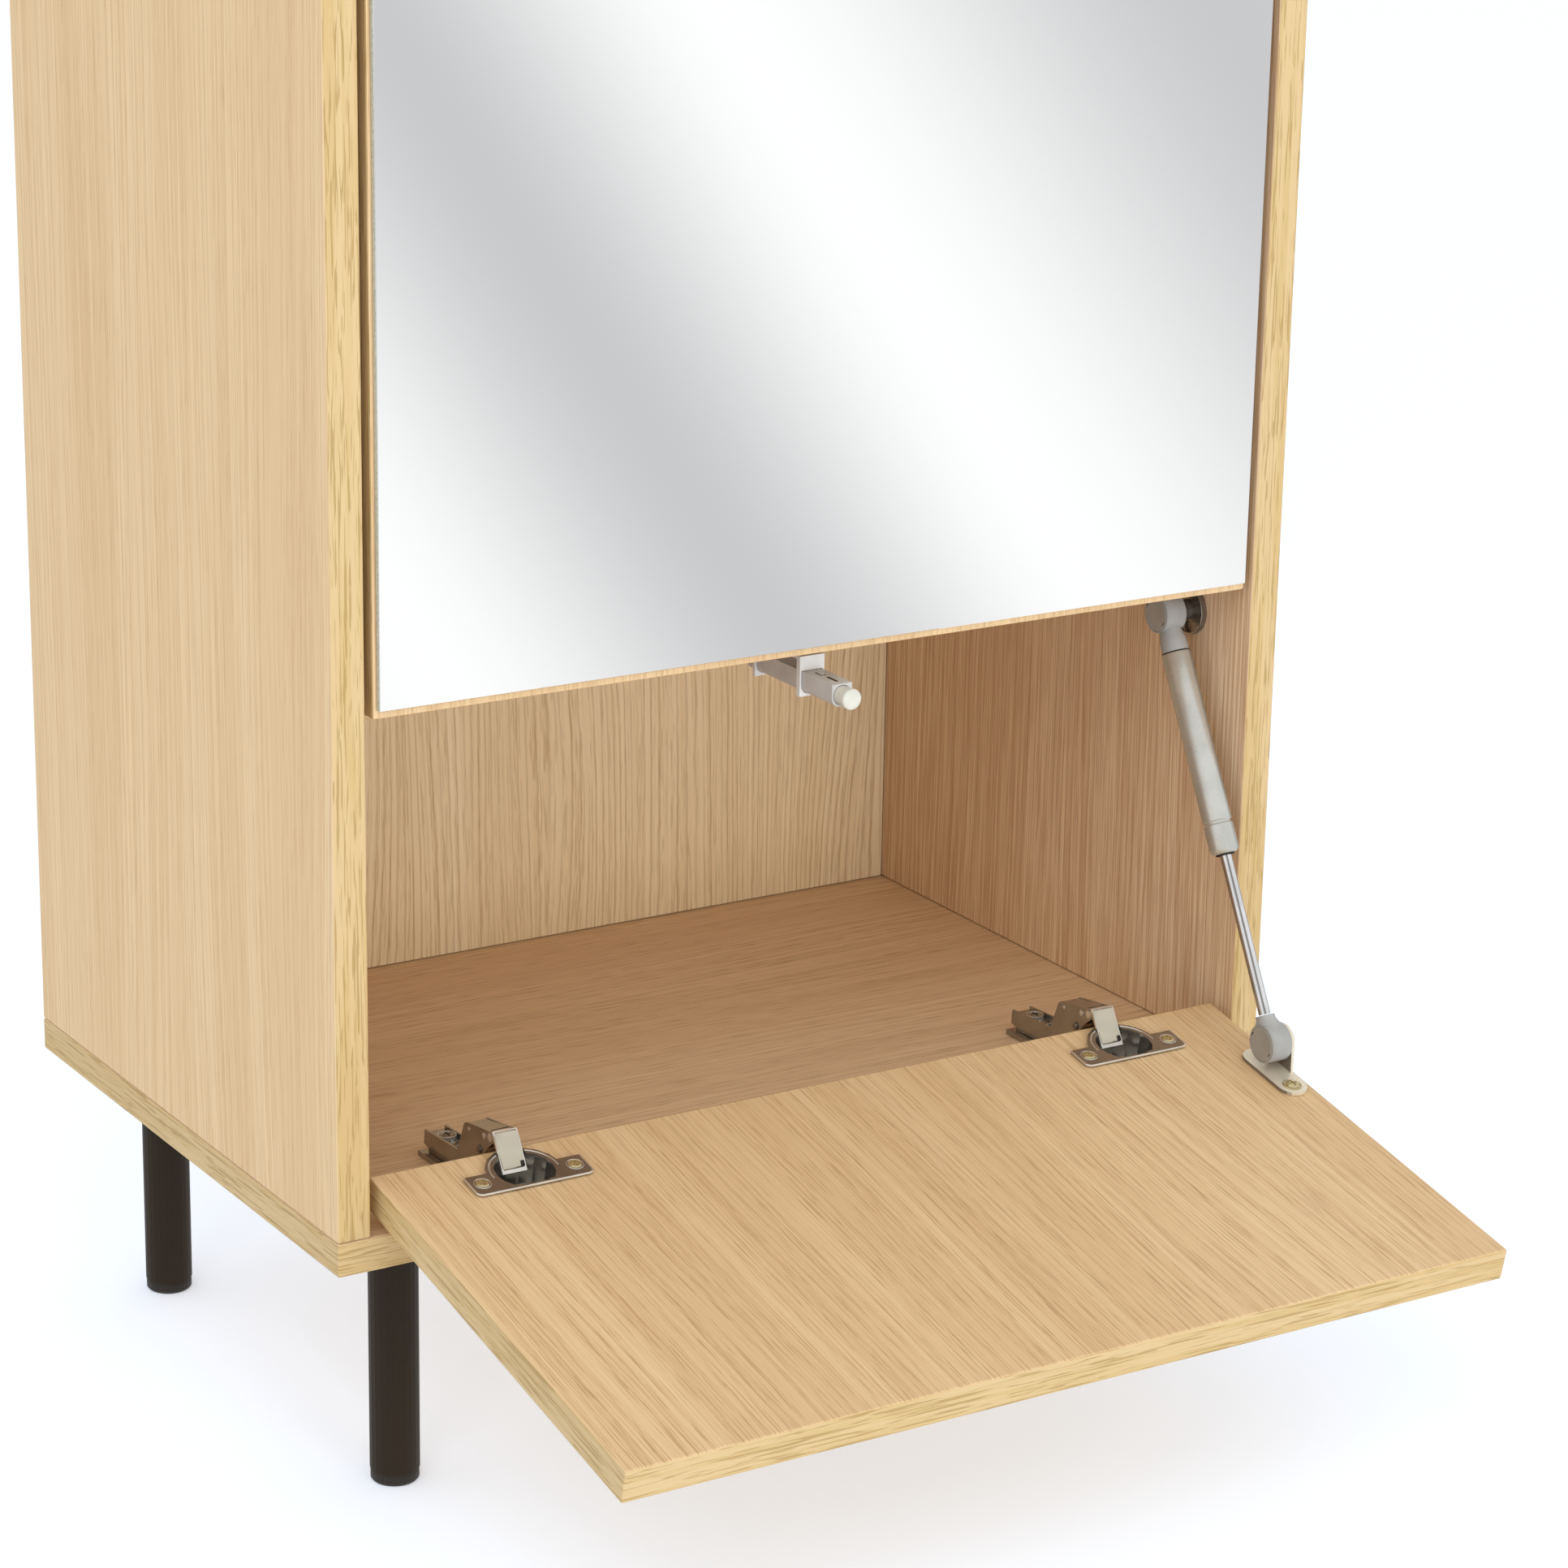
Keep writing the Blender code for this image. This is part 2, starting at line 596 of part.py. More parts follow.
def flap_bracket():
    """Plate screwed to the flap with the strut's ear and stud, made as on the closed flap."""
    y, z = closed_flap_point(*EYE_LOW)
    face = INNER_FACE + GAP
    low, high = (FLAP_BOTTOM + s for s in BRACKET_S)
    half = 0.0078
    outline = arc((STRUT_X, high - half), half, 0, 180, 10) + arc((STRUT_X, low + half), half, 180, 360, 10)
    plate = prism(outline, face, face + 0.0016, "Y")
    ear_low = STRUT_X + EYE_HALF + GAP + 0.0002
    ear = [(face, z - 0.0085), (face, z + 0.0115)] + arc((y, z), 0.0085, 60, -60, 8)
    upright = prism(ear, ear_low, ear_low + 0.0016)
    stud = rod_along_x((0, 0), EYE_BORE - GAP, -EYE_HALF + 0.0024, EYE_HALF + 0.0012, 16)
    mesh = joined(plate, upright, moved(stud, Matrix.Translation((STRUT_X, y, z))))
    return moved(mesh, Matrix.Translation((0, -FLAP_PIVOT[0], -FLAP_PIVOT[1])))


def closed_flap_point(y, z):
    """Where a point of the open flap lies when the flap is closed."""
    dy = y - FLAP_PIVOT[0]
    dz = z - FLAP_PIVOT[1]
    c = cos(-FLAP_TURN)
    s = sin(-FLAP_TURN)
    return FLAP_PIVOT[0] + c * dy - s * dz, FLAP_PIVOT[1] + s * dy + c * dz


def gas_strut():
    """Strut on the right: bracket, eye and tube at the top; rod, eye and bracket at the flap."""
    lean = Matrix.Rotation(STRUT_TURN, 4, "X")
    upper = (STRUT_X, *EYE_TOP)
    lower = (STRUT_X, *EYE_LOW)
    add_piece("strut_wall_bracket", wall_bracket(), nickel, upper)
    upper_eye = cut(eye_fitting(-1, TUBE_TOP - GAP), pin_bore(ROD_RADIUS + GAP, -TUBE_TOP - 0.001, -0.0112))
    add_piece("strut_upper_eye", upper_eye, grey_plastic, upper, lean)
    add_piece("strut_tube", strut_tube(), satin_silver, upper, lean, smooth=True)
    tip = -(STRUT_LENGTH - NECK_END - GAP)
    rod = turned([(0, -ROD_TOP), (ROD_RADIUS, -ROD_TOP), (ROD_RADIUS, tip), (0, tip)], 20)
    add_piece("strut_rod", rod, polished_rod, upper, lean, smooth=True)
    add_piece("strut_lower_eye", eye_fitting(1, NECK_END), grey_plastic, lower, lean)
    opened = Matrix.Rotation(FLAP_TURN, 4, "X")
    add_piece("strut_flap_bracket", flap_bracket(), nickel, (0, *FLAP_PIVOT), opened)


# Push latches


def latch_outline(grow=0.0):
    """Body section, (x, z): square above and round below."""
    half = LATCH_HALF + grow
    corner = 0.004 + grow
    points = [(half, LATCH_Z + half), (-half, LATCH_Z + half)]
    points += arc((corner - half, LATCH_Z + corner - half), corner, 180, 270, 5)
    points += arc((half - corner, LATCH_Z + corner - half), corner, 270, 360, 5)
    return points


def latch_parts():
    """Collar, sliding body and plunger of a push latch, about the middle of its shelf face."""
    ceiling = SHELF_BOTTOM - GAP
    collar_half = LATCH_HALF + 0.0013
    low = LATCH_Z - collar_half
    hanger = block((-collar_half, COLLAR_FRONT, low), (collar_half, COLLAR_FRONT + COLLAR_DEPTH, ceiling))
    tab_half = collar_half - 0.0003
    tab = block((-tab_half, COLLAR_FRONT + 0.001, ceiling - 0.0018), (tab_half, 0.0615, ceiling - 0.0002))
    rear = block((-collar_half, 0.0600, low), (collar_half, 0.062, ceiling))
    collar = cut(joined(hanger, tab, rear), prism(latch_outline(GAP), 0.0, 0.09, "Y"))
    body = prism(latch_outline(), LATCH_FRONT, LATCH_BACK, "Y")
    stem = PLUNGER_RADIUS - 0.0006
    bore = pin_bore(stem + GAP, LATCH_FRONT - 0.01, 0.045)
    along = Matrix.Translation((0, 0, LATCH_Z)) @ Matrix.Rotation(-pi / 2, 4, "X")
    body = cut(body, moved(bore, along))
    tip = PLUNGER_TIP
    profile = [(0, tip)]
    for angle in (20, 40, 60, 80, 90):
        turn = radians(angle)
        profile.append((PLUNGER_RADIUS * sin(turn), tip + 0.0016 * (1 - cos(turn))))
    profile += [(PLUNGER_RADIUS, tip + 0.0032), (stem, tip + 0.0032), (stem, tip + 0.034), (0, tip + 0.034)]
    plunger = moved(turned(profile, 24), along)
    return collar, body, plunger


def latches():
    """Flap latch under the divider shelf, and a short door latch on the right side panel."""
    collar, body, plunger = latch_parts()
    add_piece("flap_latch_collar", collar, white_plastic)
    add_piece("flap_latch_body", body, grey_plastic)
    add_piece("flap_latch_plunger", plunger, white_plastic)
    front = INNER_FACE + 0.0015
    wall = INNER - GAP
    along = Matrix.Translation((DOOR_LATCH_X, front, DOOR_LATCH_Z)) @ Matrix.Rotation(-pi / 2, 4, "X")
    low = (DOOR_LATCH_X - 0.008, front + 0.0006, DOOR_LATCH_Z - 0.009)
    case = block(low, (wall, front + 0.062, DOOR_LATCH_Z + 0.009), 0.0012)
    add_piece("door_latch_case", cut(case, moved(pin_bore(0.0043, -0.01, 0.052), along)), white_plastic)
    pin = turned([(0, 0), (0.0030, 0), (0.0040, 0.0010), (0.0040, 0.050), (0, 0.050)], 16)
    add_piece("door_latch_plunger", moved(pin, along), grey_plastic)


clear_scene()
frame = bpy.data.objects.new("cabinet_frame", None)
bpy.context.scene.collection.objects.link(frame)
frame.location = FRAME_PLACE
oak = make_material("oak")
oak_dark = make_material("oak_dark")
mirror = make_material("mirror")
black_steel = make_material("black_steel")
black_plastic = make_material("black_plastic")
nickel = make_material("nickel")
satin_silver = make_material("satin_silver")
polished_rod = make_material("polished_rod")
grey_plastic = make_material("grey_plastic")
white_plastic = make_material("white_plastic")

carcass()
shelf_pins()
legs()
mirror_door()
flap()
hinges()
gas_strut()
latches()
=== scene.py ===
"""Looks of the mirror cabinet: materials, small fittings, floor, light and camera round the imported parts.

The cabinet frame used below has X from the middle, Y backwards from the side panels' front edges and Z
upwards from the top face of the bottom panel, in metres.
"""

import json
from math import atan2, cos, pi, radians, sin

import bmesh
import bpy
from mathutils import Matrix, Vector


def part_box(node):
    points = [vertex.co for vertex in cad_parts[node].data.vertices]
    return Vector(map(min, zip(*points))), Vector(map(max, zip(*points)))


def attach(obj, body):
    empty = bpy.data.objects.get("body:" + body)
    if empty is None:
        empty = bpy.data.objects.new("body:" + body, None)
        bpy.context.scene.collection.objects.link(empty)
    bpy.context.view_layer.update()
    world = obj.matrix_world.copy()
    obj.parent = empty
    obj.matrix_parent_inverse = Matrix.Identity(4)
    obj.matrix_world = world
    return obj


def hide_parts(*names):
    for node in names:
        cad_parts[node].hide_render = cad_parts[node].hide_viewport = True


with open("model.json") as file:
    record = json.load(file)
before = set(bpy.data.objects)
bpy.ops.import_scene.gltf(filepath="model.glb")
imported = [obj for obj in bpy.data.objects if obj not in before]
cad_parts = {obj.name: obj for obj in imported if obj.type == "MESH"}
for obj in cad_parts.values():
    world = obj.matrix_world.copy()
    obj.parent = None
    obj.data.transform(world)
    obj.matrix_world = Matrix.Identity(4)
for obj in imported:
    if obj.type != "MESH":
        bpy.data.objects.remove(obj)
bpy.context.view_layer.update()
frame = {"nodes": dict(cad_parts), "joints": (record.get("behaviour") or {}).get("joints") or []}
nodes = frame["nodes"]
joints = {joint["name"]: joint for joint in frame["joints"]}

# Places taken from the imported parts
ORIGIN = Vector((0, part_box("left_side_panel")[0].y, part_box("bottom_panel")[1].z))
TO_CABINET = Matrix.Translation(ORIGIN)
FLAP_PIVOT = Vector(joints["flap_hinge"]["pos_m"]) - ORIGIN
FLAP_TURN = -radians(joints["flap_hinge"]["range_deg"][0])
FLAP_OPENED = (
    Matrix.Translation(FLAP_PIVOT) @ Matrix.Rotation(FLAP_TURN, 4, "X") @ Matrix.Translation(-FLAP_PIVOT)
)
WALL_X = -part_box("left_side_panel")[1].x
INNER_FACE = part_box("mirror_door_panel")[1].y - ORIGIN.y
FLAP_BOTTOM = 0.002
STRUT_TOP = Vector(joints["strut_upper_pivot"]["pos_m"]) - ORIGIN
STRUT_LOW = Vector(joints["strut_lower_pivot"]["pos_m"]) - ORIGIN
STRUT_LINE = STRUT_TOP - STRUT_LOW
STRUT_TURN = -atan2(STRUT_LINE.y, STRUT_LINE.z)


def linear(*srgb):
    """Linear colour from 0 to 255 screen values."""
    return tuple((v / 255 / 12.92) if v <= 10 else ((v / 255 + 0.055) / 1.055) ** 2.4 for v in srgb) + (1.0,)


class Shader:
    """One material with short calls for the nodes used here."""

    def __init__(self, name, base, roughness=0.5, metallic=0.0):
        self.material = bpy.data.materials.new(name)
        self.material.use_nodes = True
        self.tree = self.material.node_tree
        self.surface = self.tree.nodes["Principled BSDF"]
        self.surface.inputs["Base Color"].default_value = base
        self.surface.inputs["Roughness"].default_value = roughness
        self.surface.inputs["Metallic"].default_value = metallic
        self.material.diffuse_color = base

    def node(self, kind, inputs=(), **settings):
        """New node with its settings and inputs, given as sockets or values."""
        made = self.tree.nodes.new(kind)
        for key, value in settings.items():
            setattr(made, key, value)
        for key, value in dict(inputs).items():
            self.feed(made.inputs[key], value)
        return made

    def feed(self, socket, value):
        """Link a socket or set its value."""
        if isinstance(value, bpy.types.NodeSocket):
            self.tree.links.new(value, socket)
        else:
            socket.default_value = value

    def math(self, operation, a, b=0.0):
        """Result of a math node."""
        made = self.tree.nodes.new("ShaderNodeMath")
        made.operation = operation
        self.feed(made.inputs[0], a)
        self.feed(made.inputs[1], b)
        return made.outputs[0]

    def place(self, turn=None, centre=(0, 0, 0)):
        """Position on the object, turned about a centre where the piece lies at an angle."""
        spot = self.node("ShaderNodeTexCoord").outputs["Object"]
        return self.turned_back(spot, turn, centre)

    def facing(self, turn=None):
        """Outward direction of the face, in the same frame as place."""
        return self.turned_back(self.node("ShaderNodeTexCoord").outputs["Normal"], turn, (0, 0, 0))

    def turned_back(self, vector, turn, centre):
        """The vector in the frame of a piece that was turned about X."""
        if turn is None:
            return vector
        inputs = {"Vector": vector, "Center": centre, "Angle": -turn}
        return self.node("ShaderNodeVectorRotate", inputs, rotation_type="X_AXIS").outputs[0]

    def stretched(self, vector, scale):
        """Vector multiplied by a scale for each axis."""
        return self.node("ShaderNodeVectorMath", {0: vector, 1: scale}, operation="MULTIPLY").outputs[0]

    def noise(self, vector, detail=2.0, roughness=0.5, distortion=0.0):
        """Noise value from 0 to 1."""
        inputs = {"Vector": vector, "Scale": 1.0, "Detail": detail, "Roughness": roughness}
        inputs["Distortion"] = distortion
        return self.node("ShaderNodeTexNoise", inputs).outputs["Fac"]

    def span(self, value, low, high, to_low=0.0, to_high=1.0):
        """Smooth step of a value from one range to another."""
        inputs = {"Value": value, "From Min": low, "From Max": high, "To Min": to_low, "To Max": to_high}
        return self.node("ShaderNodeMapRange", inputs, interpolation_type="SMOOTHSTEP").outputs["Result"]

    def mixed(self, factor, a, b, blend="MIX"):
        """Mix of two colours."""
        made = self.tree.nodes.new("ShaderNodeMix")
        made.data_type = "RGBA"
        made.blend_type = blend
        self.feed(made.inputs[0], factor)
        self.feed(made.inputs[6], a)
        self.feed(made.inputs[7], b)
        return made.outputs[2]

    def axis(self, vector, index):
        """One component of a vector."""
        return self.node("ShaderNodeSeparateXYZ", {0: vector}).outputs[index]

    def bump(self, height, distance, strength=1.0):
        """Bump normal fed to the surface."""
        inputs = {"Height": height, "Distance": distance, "Strength": strength}
        self.feed(self.surface.inputs["Normal"], self.node("ShaderNodeBump", inputs).outputs[0])

    def set(self, **values):
        """Set or link surface inputs, with spaces in names written as underscores."""
        for key, value in values.items():
            self.feed(self.surface.inputs[key.replace("_", " ")], value)


# Noise frequencies in the wood, along and across the grain and through the board, in cycles per metre;
# the growth lines have one frequency and tremble by a reach in metres
WANDER = (1.6, 9.0, 4.0)
TONE = (0.8, 30.0, 9.0)
STREAKS = (3.0, 600.0, 9.0)
HAIRS = (16.0, 1150.0, 9.0)
DASHES = (50.0, 1450.0, 9.0)
TREMBLE = (55.0, 150.0, 9.0)
RINGS = 225.0
TREMBLE_REACH = 0.0022

# The same in the edge band, through the board and along its other two directions
BAND_STROKES = (780.0, 26.0)
BAND_PATCHES = (240.0, 9.0)

BAND_LIGHT = linear(206, 179, 132)
BAND_DARK = linear(200, 171, 119)
BAND_STROKE = linear(164, 134, 78)
# Painted light for the inner walls: a paler tint and pinker streak and hair colours for the light inside the
# cabinet
INNER_LIGHT_TINT = (1.12, 1.19, 1.42, 1)
INNER_STREAK = linear(188, 140, 104)
INNER_HAIR = linear(178, 130, 94)


def grained(grain, thin, frequencies, packing=1.0):
    """Scale vector for noise that is stretched along the grain."""
    along, across, through = frequencies
    values = [across * packing] * 3
    values[grain] = along
    values[thin] = through
    return tuple(values)


def banded(thin, frequencies):
    """Scale vector for noise in the edge band."""
    through, along = frequencies
    values = [along] * 3
    values[thin] = through
    return tuple(values)


def growth_lines(s, lines, grain, thin):
    """Mask of thin growth lines with trembling edges."""
    tremble = s.noise(s.stretched(lines, grained(grain, thin, TREMBLE)), 2.0)
    spot = s.math("ADD", s.axis(lines, 3 - grain - thin), s.math("MULTIPLY", tremble, TREMBLE_REACH))
    wave = s.math("FRACT", s.math("MULTIPLY", spot, RINGS))
    return s.math("MULTIPLY", s.span(wave, 0.55, 0.86), s.span(wave, 0.99, 0.90))


def edge_band(s, spot, thin):
    """Colour of the narrow sides: a band with short dark strokes."""
    strokes = s.noise(s.stretched(spot, banded(thin, BAND_STROKES)), 1.5, 0.5, 1.2)
    patches = s.noise(s.stretched(spot, banded(thin, BAND_PATCHES)), 2.0)
    band = s.mixed(s.span(patches, 0.40, 0.62), BAND_LIGHT, BAND_DARK)
    return s.mixed(s.math("MULTIPLY", s.span(strokes, 0.53, 0.61), 0.70), band, BAND_STROKE)


def oak(name, grain, thin, light, dark, pore, seed=0.0, bold=0.0, fine=1.0, dense=1.0,
        turn=None, centre=(0, 0, 0), inner=None):
    """Printed oak laminate on the faces, an edge band on the narrow sides.

    Grain and thin are the axes along the grain and through the board. Bold adds growth lines, fine deepens the
    pores and dense packs them. Inner is how far from the middle the inner walls reach; they take a paler tint
    with pinker streaks, painted light that stands in for the light inside the cabinet.
    """
    s = Shader(name, light, 0.52)
    offset = (seed, seed * 1.7, seed * 0.6)
    spot = s.node("ShaderNodeVectorMath", {0: s.place(turn, centre), 1: offset}, operation="ADD").outputs[0]
    wander = s.noise(s.stretched(spot, grained(grain, thin, WANDER)), 1.0)
    reach = [0.0, 0.0, 0.0]
    reach[3 - grain - thin] = 0.030 + 0.09 * bold
    drift = s.node("ShaderNodeVectorMath", {0: reach, "Scale": wander}, operation="SCALE").outputs[0]
    lines = s.node("ShaderNodeVectorMath", {0: spot, 1: drift}, operation="ADD").outputs[0]

    tone = s.noise(s.stretched(lines, grained(grain, thin, TONE)), 2.0)
    streaks = s.noise(s.stretched(lines, grained(grain, thin, STREAKS, dense)), 2.0, 0.6)
    hairs = s.noise(s.stretched(lines, grained(grain, thin, HAIRS, dense)), 2.0, 0.6)
    dashes = s.noise(s.stretched(lines, grained(grain, thin, DASHES, dense)), 1.0, 0.5)
    streak_mask = s.span(streaks, 0.42, 0.66)
    hair_mask = s.span(hairs, 0.46, 0.62)
    pore_mask = s.math("MULTIPLY", s.span(dashes, 0.50, 0.64), s.span(streaks, 0.42, 0.56))

    face = s.mixed(s.math("MULTIPLY", s.span(tone, 0.35, 0.65), 0.45), light, dark)
    face = s.mixed(s.math("MULTIPLY", streak_mask, 0.62 - 0.3 * bold), face, dark)
    face = s.mixed(s.math("MULTIPLY", hair_mask, 0.40 * fine), face, dark)
    if bold:
        rings = s.math("MULTIPLY", growth_lines(s, lines, grain, thin), s.span(streaks, 0.30, 0.52))
        face = s.mixed(s.math("MULTIPLY", rings, 0.44 * bold), face, pore)
    face = s.mixed(s.math("MULTIPLY", pore_mask, 0.42 * fine), face, pore)
    # Painted light: inside walls take a paler tint with pinker streaks for the light inside the cabinet
    if inner:
        inside = s.math("LESS_THAN", s.math("ABSOLUTE", s.axis(spot, 0)), inner)
        inner_light_painted = s.mixed(1.0, face, INNER_LIGHT_TINT, "MULTIPLY")
        inner_light_painted = s.mixed(s.math("MULTIPLY", streak_mask, 0.30), inner_light_painted, INNER_STREAK)
        inner_light_painted = s.mixed(s.math("MULTIPLY", hair_mask, 0.45), inner_light_painted, INNER_HAIR)
        face = s.mixed(inside, face, inner_light_painted)

    on_face = s.span(s.math("ABSOLUTE", s.axis(s.facing(turn), thin)), 0.60, 0.80)
    s.set(Base_Color=s.mixed(on_face, edge_band(s, spot, thin), face), Specular_IOR_Level=0.30)
    s.set(Roughness=s.span(hairs, 0.3, 0.7, 0.52, 0.60))
    s.bump(dashes, 0.00010, 0.35)
    return s.material


METAL_STREAKS = (2500.0, 2500.0, 750.0)
METAL_CLOUDS = (60.0, 60.0, 60.0)
# Colour of the painted dark reflections and shade in the stripes
REFLECTED_DARK = (0.16, 0.155, 0.145, 1)


def metal(name, base, roughness, metallic=0.75, shade_across_x=None, reflection_stripes=(), contrast=0.85):
    """Plated or drawn metal with faint streaks and a cloudy tone.

    Faces that look along X take the colour given for them, painted shade on upright faces. The stripes are spans
    of the surface direction's X part, from -1 to 1, painted darker as dark reflections and shade; they run along
    a rod or tube.
    """
    s = Shader(name, base, roughness, metallic)
    spot = s.place()
    streak = s.noise(s.stretched(spot, METAL_STREAKS), 3.0, 0.6)
    cloud = s.noise(s.stretched(spot, METAL_CLOUDS), 2.0)
    darker = tuple(v * 0.86 for v in base[:3]) + (1.0,)
    colour = s.mixed(s.span(cloud, 0.35, 0.7), base, darker)
    # Painted shade: faces that look along X take a darker colour
    if shade_across_x:
        upright_shade = s.span(s.math("ABSOLUTE", s.axis(s.facing(), 0)), 0.6, 0.8)
        colour = s.mixed(upright_shade, colour, shade_across_x)
    # Painted reflections and shade: darker stripes along a rod or tube
    for start, end in reflection_stripes:
        side = s.axis(s.facing(), 0)
        rise = s.span(side, start - 0.1, start + 0.1)
        fall = s.span(side, end + 0.1, end - 0.1)
        reflection_stripe = s.math("MULTIPLY", s.math("MULTIPLY", rise, fall), contrast)
        colour = s.mixed(reflection_stripe, colour, REFLECTED_DARK)
    s.set(Base_Color=colour)
    s.set(Roughness=s.span(streak, 0.3, 0.7, roughness * 0.85, roughness * 1.2))
    s.bump(streak, 0.0000001, 0.4)
    return s.material


def plastic(name, base, roughness):
    """Moulded plastic with a fine sparked surface and a cloudy tone."""
    s = Shader(name, base, roughness)
    spot = s.place()
    grit = s.noise(s.stretched(spot, (1400.0,) * 3), 2.0, 0.6)
    cloud = s.noise(s.stretched(spot, (60.0,) * 3), 2.0)
    darker = tuple(v * 0.88 for v in base[:3]) + (1.0,)
    s.set(Base_Color=s.mixed(s.span(cloud, 0.35, 0.7), base, darker), Specular_IOR_Level=0.4)
    s.set(Roughness=s.span(grit, 0.3, 0.7, roughness * 0.9, roughness * 1.15))
    s.bump(grit, 0.00004, 0.4)
    return s.material


def powder_coat(name, base):
    """Fine-textured dark powder coat on steel."""
    s = Shader(name, base, 0.5)
    spot = s.place()
    grit = s.noise(s.stretched(spot, (1800.0,) * 3), 2.0, 0.7)
    wear = s.span(s.noise(s.stretched(spot, (90.0, 90.0, 30.0)), 3.0), 0.60, 0.75)
    lighter = tuple(min(1.0, v * 1.35) for v in base[:3]) + (1.0,)
    s.set(Base_Color=s.mixed(s.math("MULTIPLY", wear, 0.4), base, lighter), Specular_IOR_Level=0.22)
    s.set(Roughness=s.span(grit, 0.3, 0.7, 0.42, 0.58))
    s.bump(grit, 0.00006, 0.5)
    return s.material


def mirror_glass():
    """Silvered front, greenish ground edges and a painted back."""
    s = Shader("mirror_silver", (0.93, 0.94, 0.94, 1), 0.0, 1.0)
    front = s.span(s.math("MULTIPLY", s.axis(s.facing(), 1), -1.0), 0.70, 0.80)
    grit = s.noise(s.stretched(s.place(), (900.0,) * 3), 2.0)
    edge = s.mixed(s.span(grit, 0.35, 0.65), linear(176, 184, 166), linear(206, 204, 186))
    s.set(Base_Color=s.mixed(front, edge, (0.95, 0.955, 0.955, 1)), Metallic=front)
    s.set(Roughness=s.math("MULTIPLY", s.math("SUBTRACT", 1.0, front), 0.28))
    return s.material


# Mesh helpers


def finished(shape, smooth=35):
    """Mesh of a bmesh with outward faces and smooth shading up to an angle."""
    bmesh.ops.recalc_face_normals(shape, faces=shape.faces)
    mesh = bpy.data.meshes.new("shape")
    shape.to_mesh(mesh)
    shape.free()
    mesh.shade_smooth()
    mesh.set_sharp_from_angle(angle=radians(smooth))
    return mesh


def block(low, high, rounding=0.0, segments=3):
    """Box between two corners with rounded edges."""
    shape = bmesh.new()
    bmesh.ops.create_cube(shape, size=1)
    bmesh.ops.scale(shape, vec=[b - a for a, b in zip(low, high)], verts=shape.verts)
    bmesh.ops.translate(shape, vec=[(a + b) / 2 for a, b in zip(low, high)], verts=shape.verts)
    if rounding:
        edges = shape.edges[:]
        bmesh.ops.bevel(shape, geom=edges, offset=rounding, segments=segments, profile=0.5, affect="EDGES")
    return finished(shape)


def turned(profile, segments=48):
    """Solid turned about Z from (radius, z) points that start and end on the axis."""
    shape = bmesh.new()
    rings = []
    for radius, z in profile:
        if radius == 0:
            rings.append([shape.verts.new((0, 0, z))])
        else:
            angles = [2 * pi * k / segments for k in range(segments)]
            rings.append([shape.verts.new((radius * cos(a), radius * sin(a), z)) for a in angles])
    for lower, upper in zip(rings, rings[1:]):
        for k in range(segments):
            n = (k + 1) % segments
            if len(lower) == 1:
                shape.faces.new((lower[0], upper[k], upper[n]))
            elif len(upper) == 1:
                shape.faces.new((lower[k], lower[n], upper[0]))
            else:
                shape.faces.new((lower[k], lower[n], upper[n], upper[k]))
    return finished(shape)


def piece(name, mesh, material, body, matrix=Matrix.Identity(4)):
    """New visual piece, placed in the cabinet frame and riding on a body."""
    made = bpy.data.objects.new(name, mesh)
    bpy.context.scene.collection.objects.link(made)
    made.matrix_world = TO_CABINET @ matrix
    if not mesh.materials:
        mesh.materials.append(material)
    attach(made, body)
    return made


def paint(names, material):
    """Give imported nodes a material."""
    for name in names:
        data = nodes[name].data
        data.materials.clear()
        data.materials.append(material)


# Wood

LIGHT = linear(228, 198, 154)
DARK = linear(209, 174, 129)
PORE = linear(166, 126, 80)
ALONG_X, ALONG_Y, ALONG_Z = range(3)

# The side panels' inner walls get painted light, a tint for the light inside the cabinet
side_oak = oak(
    "oak_side", ALONG_Z, ALONG_X, linear(227, 199, 155), linear(209, 175, 130), linear(186, 148, 104),
    fine=0.9, dense=1.1, inner=WALL_X + 0.003,
)
shelf_oak = oak(
    "oak_shelf", ALONG_X, ALONG_Z, linear(233, 205, 170), linear(214, 181, 144), linear(172, 135, 97),
    seed=0.31, fine=1.3, dense=1.1,
)
front_oak = oak("oak_door", ALONG_Z, ALONG_Y, LIGHT, DARK, PORE, seed=0.62, fine=0.8)
back_oak = oak(
    "oak_back", ALONG_Z, ALONG_Y, linear(238, 218, 182), linear(222, 197, 154), linear(158, 116, 66),
    seed=0.45, bold=0.75, fine=0.75,
)
flap_oak = oak(
    "oak_flap", ALONG_Z, ALONG_Y, LIGHT, DARK, linear(158, 117, 72),
    seed=0.83, fine=1.15, dense=1.55, turn=FLAP_TURN, centre=tuple(ORIGIN + FLAP_PIVOT),
)
paint(["left_side_panel", "right_side_panel"], side_oak)
paint(["bottom_panel", "top_panel", "divider_shelf", "lower_loose_shelf", "upper_loose_shelf"], shelf_oak)
paint(["mirror_door_panel"], front_oak)
paint(["back_panel"], back_oak)
paint(["flap_panel"], flap_oak)


# Metal and plastic

CORNERS = ("front_left", "front_right", "rear_left", "rear_right")

nickel = metal("nickel_plate", (0.38, 0.355, 0.31, 1), 0.18, 0.85)
# Brighter nickel; on the flange's rolled edge it is a painted highlight
bright_nickel_and_highlight = metal("nickel_bright", (0.78, 0.75, 0.68, 1), 0.18)
# Dark nickel for the pins' bolts; on the wall bracket this dark colour is painted shade
dark_and_shaded_nickel = metal("nickel_dark", (0.24, 0.21, 0.18, 1), 0.24)
champagne = metal("link_champagne", (0.61, 0.56, 0.44, 1), 0.22)
